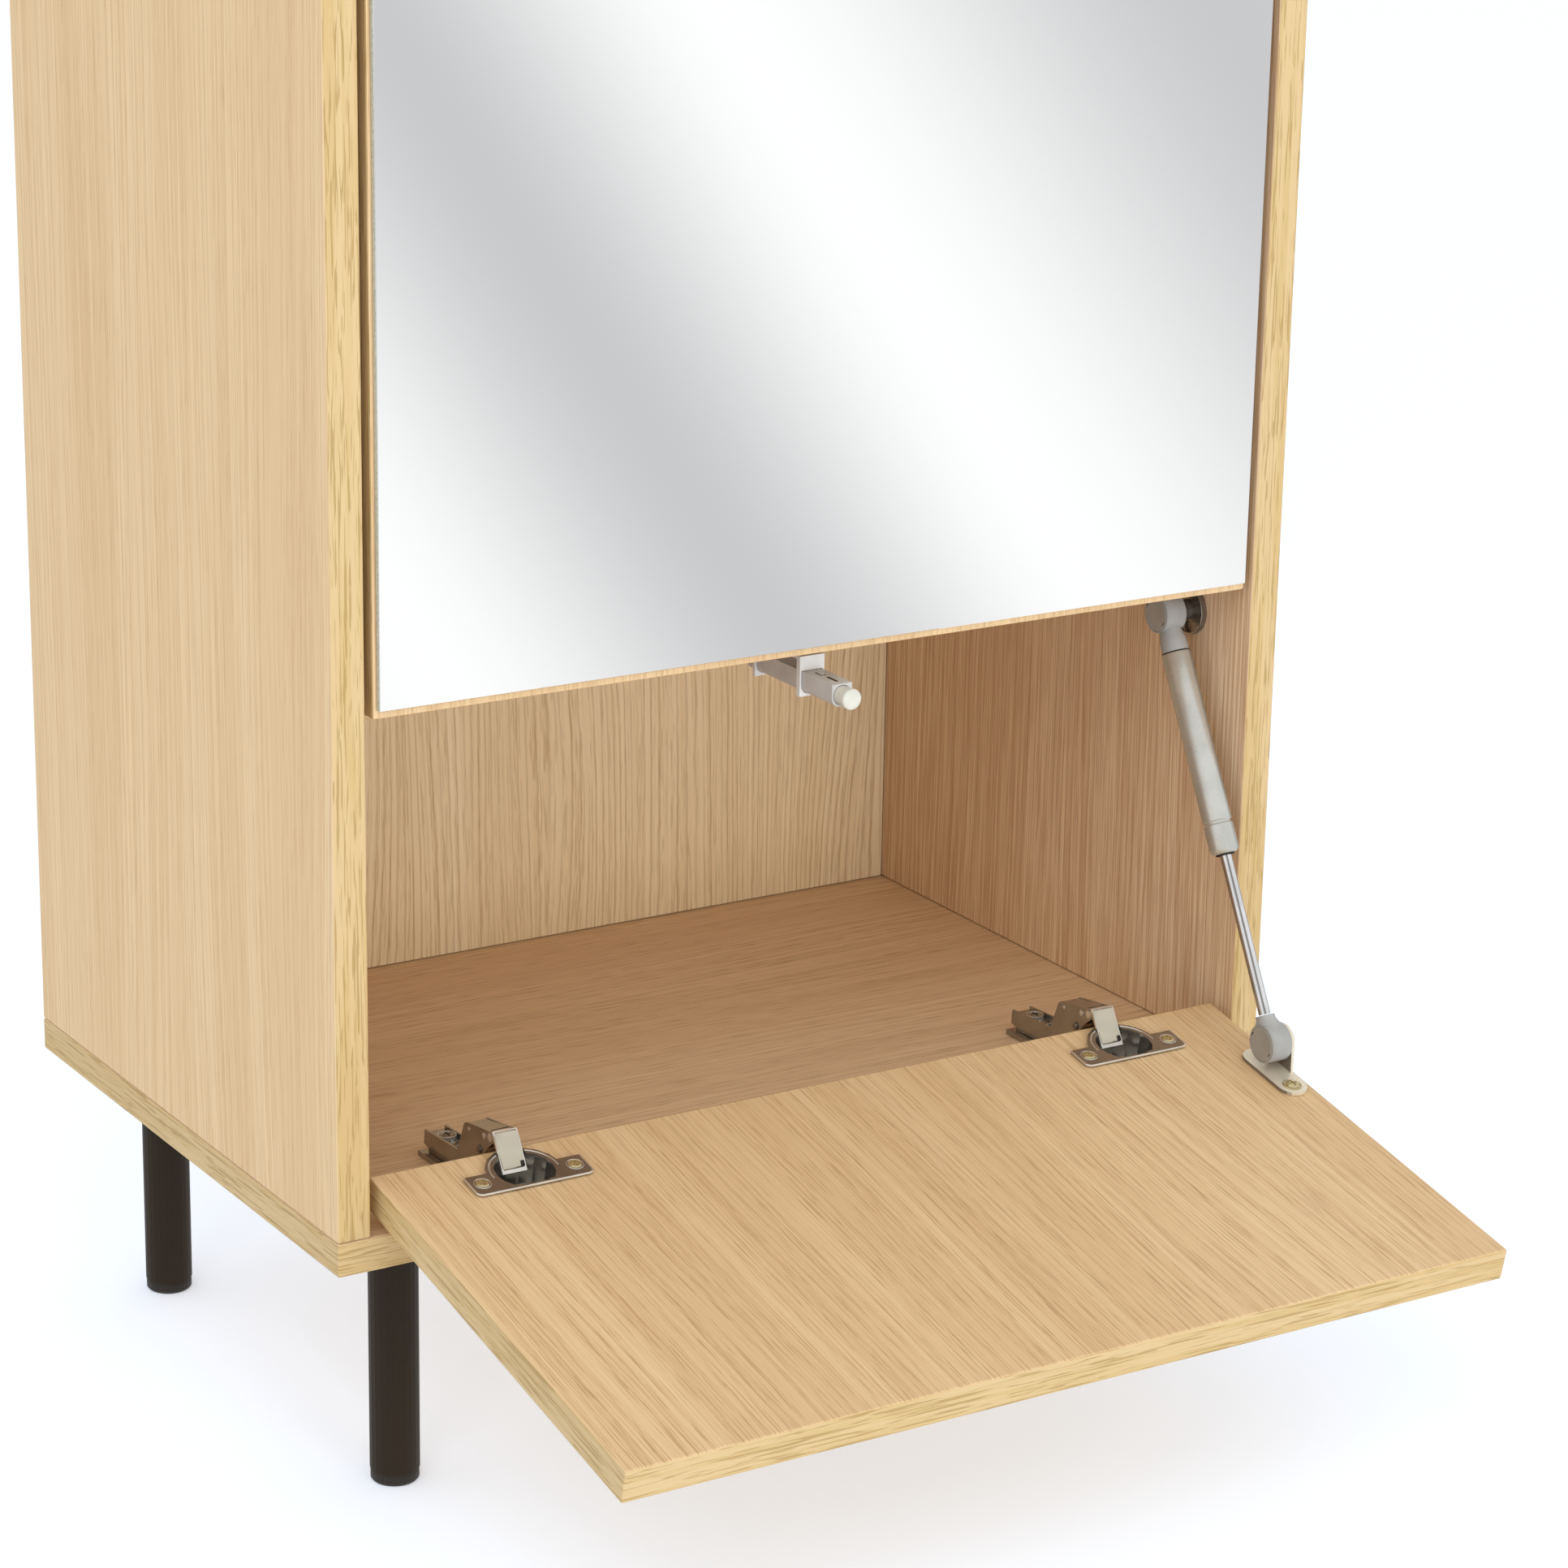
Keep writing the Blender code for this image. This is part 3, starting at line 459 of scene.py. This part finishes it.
# The plate's upright ear gets painted shade: its faces that look along X are dark
bracket = metal("bracket_plate", (0.84, 0.76, 0.60, 1), 0.32, 0.4, shade_across_x=(0.22, 0.19, 0.15, 1))
brass = metal("screw_yellow", (0.66, 0.56, 0.32, 1), 0.20)
# Tube and rod carry darker stripes of painted reflection and shade along their sides
satin = metal(
    "tube_satin", (0.64, 0.645, 0.60, 1), 0.32, 0.65, reflection_stripes=((-1.2, -0.96), (0.40, 1.2)), contrast=0.45
)
polished = metal(
    "rod_polished", (0.86, 0.86, 0.86, 1), 0.10, 0.9, reflection_stripes=((-1.2, -0.97), (-0.60, -0.30), (0.50, 1.2))
)
grey = plastic("plastic_grey", linear(165, 165, 162), 0.42)
cap_grey = plastic("plastic_cap", linear(158, 155, 149), 0.36)
latch_grey = plastic("plastic_latch", linear(200, 197, 192), 0.45)
white = plastic("plastic_white", linear(226, 225, 222), 0.42)
tip_white = plastic("plastic_tip", linear(214, 213, 200), 0.42)
# Black for the glides and seals; in slots, the latch's window and the link's notch it is painted shade
black = plastic("black_plastic_and_shade", linear(36, 30, 24), 0.5)
leg_paint = powder_coat("leg_paint", linear(40, 30, 18))

paint(["mirror_glass"], mirror_glass())
paint([f"{corner}_leg" for corner in CORNERS], leg_paint)
paint([f"{corner}_foot_glide" for corner in CORNERS], black)
paint([name for name in nodes if "hinge" in name and not name.endswith("_link")], nickel)
paint([name for name in nodes if name.endswith("_link")], bright_nickel_and_highlight)
paint([name for name in nodes if "shelf_pin" in name], bright_nickel_and_highlight)
# Painted shade: the wall bracket takes the dark nickel for the shade it sits in
paint(["strut_wall_bracket"], dark_and_shaded_nickel)
paint(["strut_flap_bracket"], bracket)
paint(["strut_upper_eye", "strut_lower_eye"], grey)
paint(["strut_tube"], satin)
paint(["strut_rod"], polished)
paint(["flap_latch_collar", "door_latch_case"], white)
paint(["flap_latch_body"], latch_grey)
paint(["flap_latch_plunger", "door_latch_plunger"], tip_white)


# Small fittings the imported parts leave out

# Places on a hinge: across it, along its arm and up from the board that the arm is screwed to
HINGE_HALF = 0.006
ARM_TOP = 0.0114
CAM_PLACE = 0.0672
SIDE_SCREW_PLACE = 0.0560
RIVET = (0.0335, 0.0288)
PIN_HEAD = (0.0185, 0.0305)
LINK_PIN = Vector((0, 0.0126, 0.0317))
REAR_PIN = Vector((0, 0.0231, 0.0222))
LINK_CORNER = (0.0047, 0.0007, 0.0212)
LINK_TILT = -radians(29.7)
LINK_FOLD = radians(41.6)

# Places on its cup: across it, out of the board and up from the board's edge
CUP_TOP = INNER_FACE + 0.0018
CUP_CENTRE = FLAP_BOTTOM + 0.0215
CUP_SCREW_X = 0.0242
CUP_SCREW_Z = FLAP_BOTTOM + 0.0255
FLANGE_HALF = 0.0302
FLANGE_LOW = FLAP_BOTTOM + 0.0186
FLANGE_HIGH = FLAP_BOTTOM + 0.0338
LIP_RADIUS = 0.0168

LYING = Matrix.Rotation(-pi / 2, 4, "X")
SIDEWAYS = Matrix.Rotation(-pi / 2, 4, "Y")


def shift(x, y, z):
    """Matrix that moves by x, y and z."""
    return Matrix.Translation((x, y, z))


def combined(mesh, operation, *tools):
    """Mesh with the tools' meshes joined to it or taken out."""
    made = bpy.data.objects.new("base", mesh)
    bpy.context.scene.collection.objects.link(made)
    helpers = []
    for tool in tools:
        helper = bpy.data.objects.new("tool", tool)
        bpy.context.scene.collection.objects.link(helper)
        modifier = made.modifiers.new("combine", "BOOLEAN")
        modifier.object = helper
        modifier.operation = operation
        modifier.solver = "EXACT"
        helpers.append(helper)
    bpy.context.view_layer.update()
    result = bpy.data.meshes.new_from_object(made.evaluated_get(bpy.context.evaluated_depsgraph_get()))
    for extra in (made, *helpers):
        bpy.data.objects.remove(extra)
    result.set_sharp_from_angle(angle=radians(35))
    return result


def cut_out(mesh, *tools):
    """Mesh with the tools' meshes taken out."""
    return combined(mesh, "DIFFERENCE", *tools)


def bar(radius, low, high, segments=32):
    """Plain round bar along Z."""
    return turned([(0, low), (radius, low), (radius, high), (0, high)], segments)


def turned_over(mesh, matrix):
    """The mesh after a turn or a move."""
    mesh.transform(matrix)
    return mesh


def screw(radius, height, half_slot):
    """Screw head on z = 0 with a domed top, a rounded rim and a cross."""
    dome = [(0, 0), (radius, 0), (radius, height * 0.35), (radius * 0.94, height * 0.62)]
    dome += [(radius * 0.80, height * 0.84), (radius * 0.45, height * 0.98), (0, height)]
    reach = radius * 0.66
    low = height * 0.45
    high = height * 2
    one = block((-reach, -half_slot, low), (reach, half_slot, high))
    other = block((-half_slot, -reach, low), (half_slot, reach, high))
    return cut_out(turned(dome, 32), one, other)


def ring(radius, width, height, segments=40):
    """Low ring with a rounded top on z = 0."""
    inner = radius - width
    shape = bmesh.new()
    shoulder = height * 0.6
    section = [(inner, 0), (inner, shoulder), (inner + width * 0.25, height)]
    section += [(radius - width * 0.25, height), (radius, shoulder), (radius, 0)]
    rows = []
    for k in range(segments):
        angle = 2 * pi * k / segments
        rows.append([shape.verts.new((r * cos(angle), r * sin(angle), z)) for r, z in section])
    for k, row in enumerate(rows):
        following = rows[(k + 1) % segments]
        for i in range(len(section)):
            j = (i + 1) % len(section)
            shape.faces.new((row[i], row[j], following[j], following[i]))
    return finished(shape)


def tube(points, radius, sides=10):
    """Round bar through points, with closed ends."""
    shape = bmesh.new()
    rows = []
    for k, point in enumerate(points):
        ahead = (points[min(k + 1, len(points) - 1)] - points[max(k - 1, 0)]).normalized()
        spare = Vector((0, 1, 0)) if abs(ahead.y) < 0.9 else Vector((1, 0, 0))
        side = ahead.cross(spare).normalized()
        other = ahead.cross(side)
        angles = [2 * pi * i / sides for i in range(sides)]
        rows.append([shape.verts.new(point + radius * (cos(a) * side + sin(a) * other)) for a in angles])
    for row, following in zip(rows, rows[1:]):
        for i in range(sides):
            j = (i + 1) % sides
            shape.faces.new((row[i], row[j], following[j], following[i]))
    shape.faces.new(rows[0])
    shape.faces.new(list(reversed(rows[-1])))
    return finished(shape, 50)


def flange_rim():
    """Rolled edge of the cup's flange: its two ends and its long front edge."""
    corner = 0.003
    level = CUP_TOP - 0.0004
    points = [Vector((-FLANGE_HALF, level, FLANGE_LOW))]
    for side, start in ((-1, 180), (1, 90)):
        for step in range(6):
            angle = radians(start - 90 * step / 5)
            x = side * (FLANGE_HALF - corner) + corner * cos(angle)
            points.append(Vector((x, level, FLANGE_HIGH - corner + corner * sin(angle))))
    points.append(Vector((FLANGE_HALF, level, FLANGE_LOW)))
    return tube(points, 0.00055)


def half_lips():
    """Left and right parts of the raised lip round the cup's mouth, on both sides of the arm's way."""
    parts = []
    for start, end in ((176, 243), (297, 364)):
        points = []
        for step in range(16):
            angle = radians(start + (end - start) * step / 15)
            height = CUP_CENTRE + LIP_RADIUS * sin(angle)
            points.append(Vector((LIP_RADIUS * cos(angle), CUP_TOP - 0.0001, height)))
        parts.append(tube(points, 0.0005))
    return parts


def link_plate():
    """Bright cover of the link: a tapered sheet with rounded corners and folded sides, in the hinge's frame."""
    top = Vector((0, 0.0090, 0.0350))
    foot = Vector((0, -0.0008, 0.0178))
    down = (foot - top).normalized()
    out = Vector((0, down.z, -down.y))
    length = (foot - top).length
    shape = bmesh.new()
    grid = []
    for t, half, lift in (
        (-0.03, 0.0052, -0.0008),
        (0.0, 0.0060, 0.0000),
        (0.06, 0.0065, 0.0003),
        (0.5, 0.0063, 0.0004),
        (0.86, 0.0061, 0.0003),
        (0.91, 0.0057, 0.0001),
        (0.93, 0.0052, -0.0002),
    ):
        base = top + t * length * down + lift * out
        fold = 0.0026 if len(grid) < 3 else 0.0013
        section = [(-1, fold), (-1, 0.0006), (-0.93, 0.0001), (0, 0.0), (0.93, 0.0001), (1, 0.0006), (1, fold)]
        grid.append([shape.verts.new(base - drop * out + Vector((x * half, 0, 0))) for x, drop in section])
    for line, following in zip(grid, grid[1:]):
        for i in range(6):
            shape.faces.new((line[i], line[i + 1], following[i + 1], following[i]))
    bmesh.ops.recalc_face_normals(shape, faces=shape.faces)
    bmesh.ops.solidify(shape, geom=shape.faces[:], thickness=0.0003)
    return finished(shape, 40)


def fit_hinge(name, arm, arm_body, cup, cup_body, link, link_body):
    """Screws, pins and trim of one hinge, given the frame and the body of each of its parts."""

    def fit(part, mesh, material, body, place):
        piece(f"{name}_{part}", mesh, material, body, place)

    cam = arm @ shift(0, 0, ARM_TOP) @ shift(0, CAM_PLACE, 0)
    fit("cam_ring", ring(0.0047, 0.0008, 0.0018), bright_nickel_and_highlight, arm_body, cam)
    fit("cam_screw", screw(0.0038, 0.0022, 0.0006), nickel, arm_body, cam)
    side_screw = arm @ shift(0, 0, ARM_TOP) @ shift(0, SIDE_SCREW_PLACE, 0)
    fit("side_screw", screw(0.0028, 0.0014, 0.0005), nickel, arm_body, side_screw)
    for side, turn in (("left", SIDEWAYS), ("right", SIDEWAYS.inverted())):
        x = HINGE_HALF if side == "right" else -HINGE_HALF
        for part, spot, radius, height in (
            ("rivet", RIVET, 0.0010, 0.0004),
            ("pin_ring", LINK_PIN.yz, 0.0021, 0.0004),
            ("pin_head", PIN_HEAD, 0.0015, 0.0005),
        ):
            profile = [(0, 0), (radius, 0), (radius, height * 0.5), (radius * 0.7, height * 0.9), (0, height)]
            fit(f"{part}_{side}", turned(profile, 20), bright_nickel_and_highlight, arm_body, arm @ shift(x, *spot) @ turn)
        bolt = turned([(0, 0), (0.0021, 0), (0.0021, 0.0006), (0.0016, 0.0010), (0, 0.0011)], 20)
        fit(f"bolt_{side}", bolt, dark_and_shaded_nickel, arm_body, arm @ shift(x, *REAR_PIN.yz) @ turn)
    # Painted highlight: the flange's rolled edge takes brighter nickel than the flange itself
    fit("flange_rim", flange_rim(), bright_nickel_and_highlight, cup_body, cup)
    for side, lip in zip(("left", "right"), half_lips()):
        fit(f"cup_lip_{side}", lip, bright_nickel_and_highlight, cup_body, cup)
    for side, x in (("left", -CUP_SCREW_X), ("right", CUP_SCREW_X)):
        spot = cup @ shift(x, CUP_TOP - 0.0001, CUP_SCREW_Z) @ LYING
        fit(f"screw_ring_{side}", ring(0.0043, 0.0005, 0.0004), bright_nickel_and_highlight, cup_body, spot)
        fit(f"screw_{side}", screw(0.0034, 0.0011, 0.0005), brass, cup_body, spot)
    block_low = (-0.0010, INNER_FACE - 0.0113, FLAP_BOTTOM + 0.0150)
    block_high = (0.0062, INNER_FACE - 0.0101, FLAP_BOTTOM + 0.0235)
    fit("cup_block", block(block_low, block_high, 0.0005, 2), bright_nickel_and_highlight, cup_body, cup)
    fit("link_cover", link_plate(), champagne, link_body, link)
    corner = link @ shift(*LINK_CORNER) @ Matrix.Rotation(LINK_TILT, 4, "X")
    # Painted shade: a black block stands for the shade in the link's notch
    notch_shade = block((-0.0008, -0.0006, -0.0016), (0.0009, 0.0002, 0.0012), 0.0003, 2)
    fit("link_notch_shade", notch_shade, black, link_body, corner)


# Where the hinges sit: across the bottom panel, and up the left wall
FLAP_HINGES = {"left": -0.1702, "right": 0.1698}
DOOR_HINGES = {"bottom": 0.350, "middle": 0.941, "top": 1.532}
DOOR_WALL_X = WALL_X - 0.0025
UPRIGHT = Matrix.Rotation(pi / 2, 4, "Y")

for side, x in FLAP_HINGES.items():
    place = shift(x, 0, 0)
    fit_hinge(f"flap_hinge_{side}", place, "root", FLAP_OPENED @ place, "flap", place, f"flap_link_{side}")
fold = Matrix.Translation(LINK_PIN) @ Matrix.Rotation(LINK_FOLD, 4, "X") @ Matrix.Translation(-LINK_PIN)
for level, z in DOOR_HINGES.items():
    place = shift(-DOOR_WALL_X, 0, z) @ UPRIGHT
    fit_hinge(f"door_hinge_{level}", place, "root", place, "door", place @ fold, f"door_link_{level}")


# Gas strut

TUBE_TOP = 0.0209
TUBE_END = 0.1252
TUBE_RADIUS = 0.0075
GROOVE = 0.016 - TUBE_END
ROD_TOP = 0.1180
ROD_END = STRUT_LINE.length - 0.0142
ROD_RADIUS = 0.0030
BORE_RADIUS = 0.0033
EYE_HALF = 0.006

UPPER_EYE_PLACE = Matrix.Translation(STRUT_TOP) @ Matrix.Rotation(STRUT_TURN, 4, "X")
LOWER_EYE_PLACE = Matrix.Translation(STRUT_LOW) @ Matrix.Rotation(STRUT_TURN, 4, "X")

# Profiles as (radius, z) points; the upper neck runs down from its eye's axis and the lower one up
CAP = [(0, 0), (0.0089, 0), (0.0089, 0.0003), (0.0085, 0.0006), (0.0081, 0.0007), (0.0077, 0.0007), (0, 0.0007)]
EYE_EDGE = [(0, -EYE_HALF), (0.0090, -EYE_HALF), (0.0095, -0.0057), (0.00975, -0.0050)]
EYE = EYE_EDGE + [(radius, -z) for radius, z in reversed(EYE_EDGE)]
HIGH_NECK = [
    (0, 0),
    (0.0056, 0),
    (0.0056, -0.0092),
    (0.0062, -0.0120),
    (0.0068, -0.0150),
    (0.0069, -0.0204),
    (0, -0.0204),
]
LOW_NECK = [
    (0, 0),
    (0.0090, 0),
    (0.0086, 0.0046),
    (0.0054, 0.0108),
    (0.0049, 0.0122),
    (0.0048, 0.0137),
    (0, 0.0137),
]
TUBE = [
    (0, -TUBE_END),
    (0.0050, -TUBE_END),
    (0.0062, 0.0004 - TUBE_END),
    (0.0070, 0.0013 - TUBE_END),
    (TUBE_RADIUS, 0.0028 - TUBE_END),
    (TUBE_RADIUS, GROOVE - 0.0012),
    (0.0068, GROOVE - 0.0004),
    (0.0068, GROOVE + 0.0004),
    (TUBE_RADIUS, GROOVE + 0.0012),
    (TUBE_RADIUS, -TUBE_TOP - 0.0008),
    (0.0072, -TUBE_TOP - 0.0002),
    (0.0068, -TUBE_TOP),
    (0, -TUBE_TOP),
]
ROD = [(0, -ROD_END), (ROD_RADIUS, -ROD_END), (ROD_RADIUS, -ROD_TOP - 0.0005), (0.0026, -ROD_TOP), (0, -ROD_TOP)]
NECK_SEAL = [(0, -0.0004), (0.0070, -0.0004), (0.0072, 0.0), (0.0070, 0.0004), (0, 0.0004)]
END_SEAL = [(0, -0.0008), (0.0046, -0.0008), (0.0050, -0.0003), (0.0050, 0.0004), (0, 0.0004)]


def strut_eye(part, place, body, neck):
    """One eye of the strut with its neck, bored for the stud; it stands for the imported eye."""
    eye = combined(turned_over(turned(EYE), SIDEWAYS), "UNION", neck)
    bores = [turned_over(bar(0.0042, -0.004, 0.01), SIDEWAYS.inverted())]
    if part == "upper":
        bores.append(bar(BORE_RADIUS, -0.03, -0.0112))
    made = piece(f"strut_{part}_eye_body", cut_out(eye, *bores), grey, body, place)
    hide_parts(f"strut_{part}_eye")


for part, place, body in (("upper", UPPER_EYE_PLACE, "strut_cylinder"), ("lower", LOWER_EYE_PLACE, "strut_foot")):
    face = place @ shift(-EYE_HALF, 0, 0) @ SIDEWAYS
    piece(f"strut_{part}_cap", turned(CAP, 48), cap_grey, body, face)
    piece(f"strut_{part}_rim", ring(0.0097, 0.0007, 0.0004), grey, body, face)
    for side, turn in (("front", 35), ("rear", 215)):
        # Painted shade: a small black block stands for the shade in each slot of the cap
        slot_shade = block((-0.0012, -0.0003, -0.0002), (0.0012, 0.0003, 0.0009), 0.0002, 1)
        radial = face @ Matrix.Rotation(radians(turn), 4, "Z") @ shift(0.0078, 0, 0)
        spot = radial @ Matrix.Rotation(pi / 2, 4, "Z")
        piece(f"strut_{part}_slot_{side}", slot_shade, black, body, spot)
strut_eye("upper", UPPER_EYE_PLACE, "strut_cylinder", turned(HIGH_NECK))
flat_sides = block((-0.0057, -0.02, -0.03), (0.0057, 0.02, 0.03))
strut_eye("lower", LOWER_EYE_PLACE, "strut_foot", combined(turned(LOW_NECK), "INTERSECT", flat_sides))

tube_mesh = cut_out(turned(TUBE, 64), bar(BORE_RADIUS, -0.14, 0.0))
tube_body = piece("strut_tube_body", tube_mesh, satin, "strut_cylinder", UPPER_EYE_PLACE)
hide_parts("strut_tube")
rod = piece("strut_rod_body", turned(ROD, 40), polished, "strut_piston_rod", UPPER_EYE_PLACE)
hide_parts("strut_rod")
for part, profile, z in (("neck_seal", NECK_SEAL, -0.0208), ("end_seal", END_SEAL, -TUBE_END)):
    seal = cut_out(turned(profile, 32), bar(0.0034, -0.01, 0.01))
    piece(f"strut_{part}", seal, black, "strut_cylinder", UPPER_EYE_PLACE @ shift(0, 0, z))

wall_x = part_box("strut_wall_bracket")[1].x - 0.0023
wall_place = Matrix.Translation((wall_x, STRUT_TOP.y, STRUT_TOP.z)) @ SIDEWAYS
piece("strut_wall_rim", ring(0.0127, 0.0010, 0.0006), nickel, "root", wall_place)
screw_place = FLAP_OPENED @ shift(STRUT_TOP.x, INNER_FACE + 0.0018, FLAP_BOTTOM + 0.0845) @ LYING
piece("strut_bracket_screw", screw(0.0036, 0.0016, 0.0005), brass, "flap", screw_place)
piece("strut_bracket_washer", ring(0.0050, 0.0010, 0.0005), brass, "flap", screw_place)


# Push latch

BUTTON_RADIUS = 0.0051
BUTTON_STEM = 0.0045
BUTTON_LENGTH = 0.0340
UNMOVED = Matrix.Identity(4)

latch_low, latch_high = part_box("flap_latch_body")
latch_z = (latch_low.z + latch_high.z) / 2 - ORIGIN.z
latch_top = latch_high.z - ORIGIN.z
latch_front = latch_low.y - ORIGIN.y
# Painted shade: black blocks stand for the shade inside the latch's window and slot
for part, start, end, half in (("window", 0.0090, 0.0150, 0.0016), ("slot_shade", -0.0030, 0.0060, 0.0009)):
    dark = block((-half, start, latch_top - 0.0008), (half, end, latch_top + 0.0001), 0.0002, 1)
    piece(f"flap_latch_{part}", dark, black, "latch_slide", UNMOVED)
clip = block((-0.0010, 0.0098, latch_top - 0.0004), (0.0010, 0.0142, latch_top + 0.0005), 0.0003, 2)
piece("flap_latch_clip", clip, latch_grey, "latch_slide", UNMOVED)

profile = [(0, 0)]
for angle in (15, 30, 45, 60, 75, 90):
    profile.append((BUTTON_RADIUS * sin(radians(angle)), 0.0016 * (1 - cos(radians(angle)))))
profile += [(BUTTON_RADIUS, 0.0030), (0.0048, 0.0032), (BUTTON_STEM, 0.0033)]
profile += [(BUTTON_STEM, BUTTON_LENGTH), (0, BUTTON_LENGTH)]
tip_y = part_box("flap_latch_plunger")[0].y - ORIGIN.y
tip_place = shift(0, tip_y, latch_z) @ LYING
button = piece("flap_latch_button", turned(profile), tip_white, "latch_pusher", tip_place)
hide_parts("flap_latch_plunger")
facing_out = shift(0, latch_front + 0.0001, latch_z) @ Matrix.Rotation(pi / 2, 4, "X")
piece("flap_latch_muzzle", ring(0.0056, 0.0003, 0.0005), white, "latch_slide", facing_out)


# Floor, light and camera

# Bands that what shines sees: their slant, the span that repeats, and their tones
SLANT = 0.65
BAND_START = -0.0616
BAND_END = 0.318
BAND_BRIGHT = (1.05, 1.05, 1.05, 1)
BAND_DIM = (0.62, 0.62, 0.63, 1)
SOFT_WHITE = (0.87, 0.86, 0.85, 1)
BACKDROP_WHITE = (1.1, 1.1, 1.1, 1)

YAW = radians(-31.98)
PITCH = radians(-17.25)
ROLL = radians(1.01)
LENS = 103.5
CAMERA_PLACE = ORIGIN + Vector((-1.095, -1.711, 0.811))

# Lights: place, target, size in metres and power in watts
KEY_LIGHT = ((-2.4, -2.8, 3.4), (0, 0, 0.5), 2.6, 44)
FRONT_LIGHT = ((0.1, -3.4, 0.55), (0, 0, 0.3), 1.2, 38)


def stage_floor():
    """Plain pale floor, just under the feet."""
    shape = bmesh.new()
    bmesh.ops.create_grid(shape, x_segments=1, y_segments=1, size=40)
    floor = bpy.data.objects.new("floor", finished(shape))
    bpy.context.scene.collection.objects.link(floor)
    floor.location.z = -0.0002
    paper = Shader("paper", (0.74, 0.83, 0.96, 1), 0.9)
    paper.set(Specular_IOR_Level=0.0, Emission_Color=(0.92, 0.94, 1.0, 1), Emission_Strength=0.36)
    floor.data.materials.append(paper.material)
    floor.visible_glossy = False


def soft_box(name, place, target, size, power):
    """Square area light that looks at a target."""
    light = bpy.data.lights.new(name, "AREA")
    light.shape = "SQUARE"
    light.size = size
    light.energy = power
    lamp = bpy.data.objects.new(name, light)
    bpy.context.scene.collection.objects.link(lamp)
    lamp.location = place
    lamp.rotation_euler = (Vector(target) - Vector(place)).to_track_quat("-Z", "Y").to_euler()
    lamp.visible_glossy = False


def studio_world(right, up):
    """White surroundings; what shines sees soft slanting bands, like large softboxes."""
    world = bpy.data.worlds.new("studio")
    bpy.context.scene.world = world
    world.use_nodes = True
    tree = world.node_tree

    def add(kind, **settings):
        made = tree.nodes.new(kind)
        for key, value in settings.items():
            setattr(made, key, value)
        return made

    slant = right + SLANT * up
    dot = add("ShaderNodeVectorMath", operation="DOT_PRODUCT")
    dot.inputs[1].default_value = Vector((slant.x, -slant.y, slant.z))
    tree.links.new(add("ShaderNodeTexCoord").outputs["Generated"], dot.inputs[0])
    wrap = add("ShaderNodeMath", operation="WRAP")
    wrap.inputs[1].default_value = BAND_END
    wrap.inputs[2].default_value = BAND_START
    tree.links.new(dot.outputs["Value"], wrap.inputs[0])
    spread = add("ShaderNodeMapRange")
    spread.inputs["From Min"].default_value = BAND_START
    spread.inputs["From Max"].default_value = BAND_END
    tree.links.new(wrap.outputs[0], spread.inputs["Value"])

    ramp = add("ShaderNodeValToRGB")
    ramp.color_ramp.interpolation = "EASE"
    stops = ramp.color_ramp.elements
    stops[0].color = BAND_BRIGHT
    stops[1].color = BAND_BRIGHT
    for position, colour in ((0.216, BAND_DIM), (0.416, BAND_BRIGHT), (0.707, BAND_DIM)):
        stops.new(position).color = colour
    tree.links.new(spread.outputs["Result"], ramp.inputs[0])

    path = add("ShaderNodeLightPath")
    lit = add("ShaderNodeMix", data_type="RGBA")
    tree.links.new(path.outputs["Is Glossy Ray"], lit.inputs[0])
    lit.inputs[6].default_value = SOFT_WHITE
    tree.links.new(ramp.outputs[0], lit.inputs[7])
    seen = add("ShaderNodeMix", data_type="RGBA")
    tree.links.new(path.outputs["Is Camera Ray"], seen.inputs[0])
    tree.links.new(lit.outputs[2], seen.inputs[6])
    seen.inputs[7].default_value = BACKDROP_WHITE
    tree.links.new(seen.outputs[2], tree.nodes["Background"].inputs["Color"])


def camera_axes(yaw, pitch, roll):
    """Right, up and forward directions of the camera."""
    forward = Vector((-sin(yaw) * cos(pitch), cos(yaw) * cos(pitch), sin(pitch)))
    level = Vector((cos(yaw), sin(yaw), 0))
    up = level.cross(forward)
    right = cos(roll) * level + sin(roll) * up
    return right, -sin(roll) * level + cos(roll) * up, forward


def camera(place, right, up, forward, lens):
    """Camera at the photograph's viewing angle."""
    data = bpy.data.cameras.new("camera")
    data.lens = lens
    data.sensor_width = 36
    shooting = bpy.data.objects.new("camera", data)
    bpy.context.scene.collection.objects.link(shooting)
    matrix = Matrix((right, up, -forward)).transposed().to_4x4()
    matrix.translation = place
    shooting.matrix_world = matrix
    bpy.context.scene.camera = shooting


stage_floor()
right, up, forward = camera_axes(YAW, PITCH, ROLL)
camera(CAMERA_PLACE, right, up, forward, LENS)
studio_world(right, up)
soft_box("key", *KEY_LIGHT)
soft_box("front", *FRONT_LIGHT)
bpy.context.scene.view_settings.view_transform = "Standard"
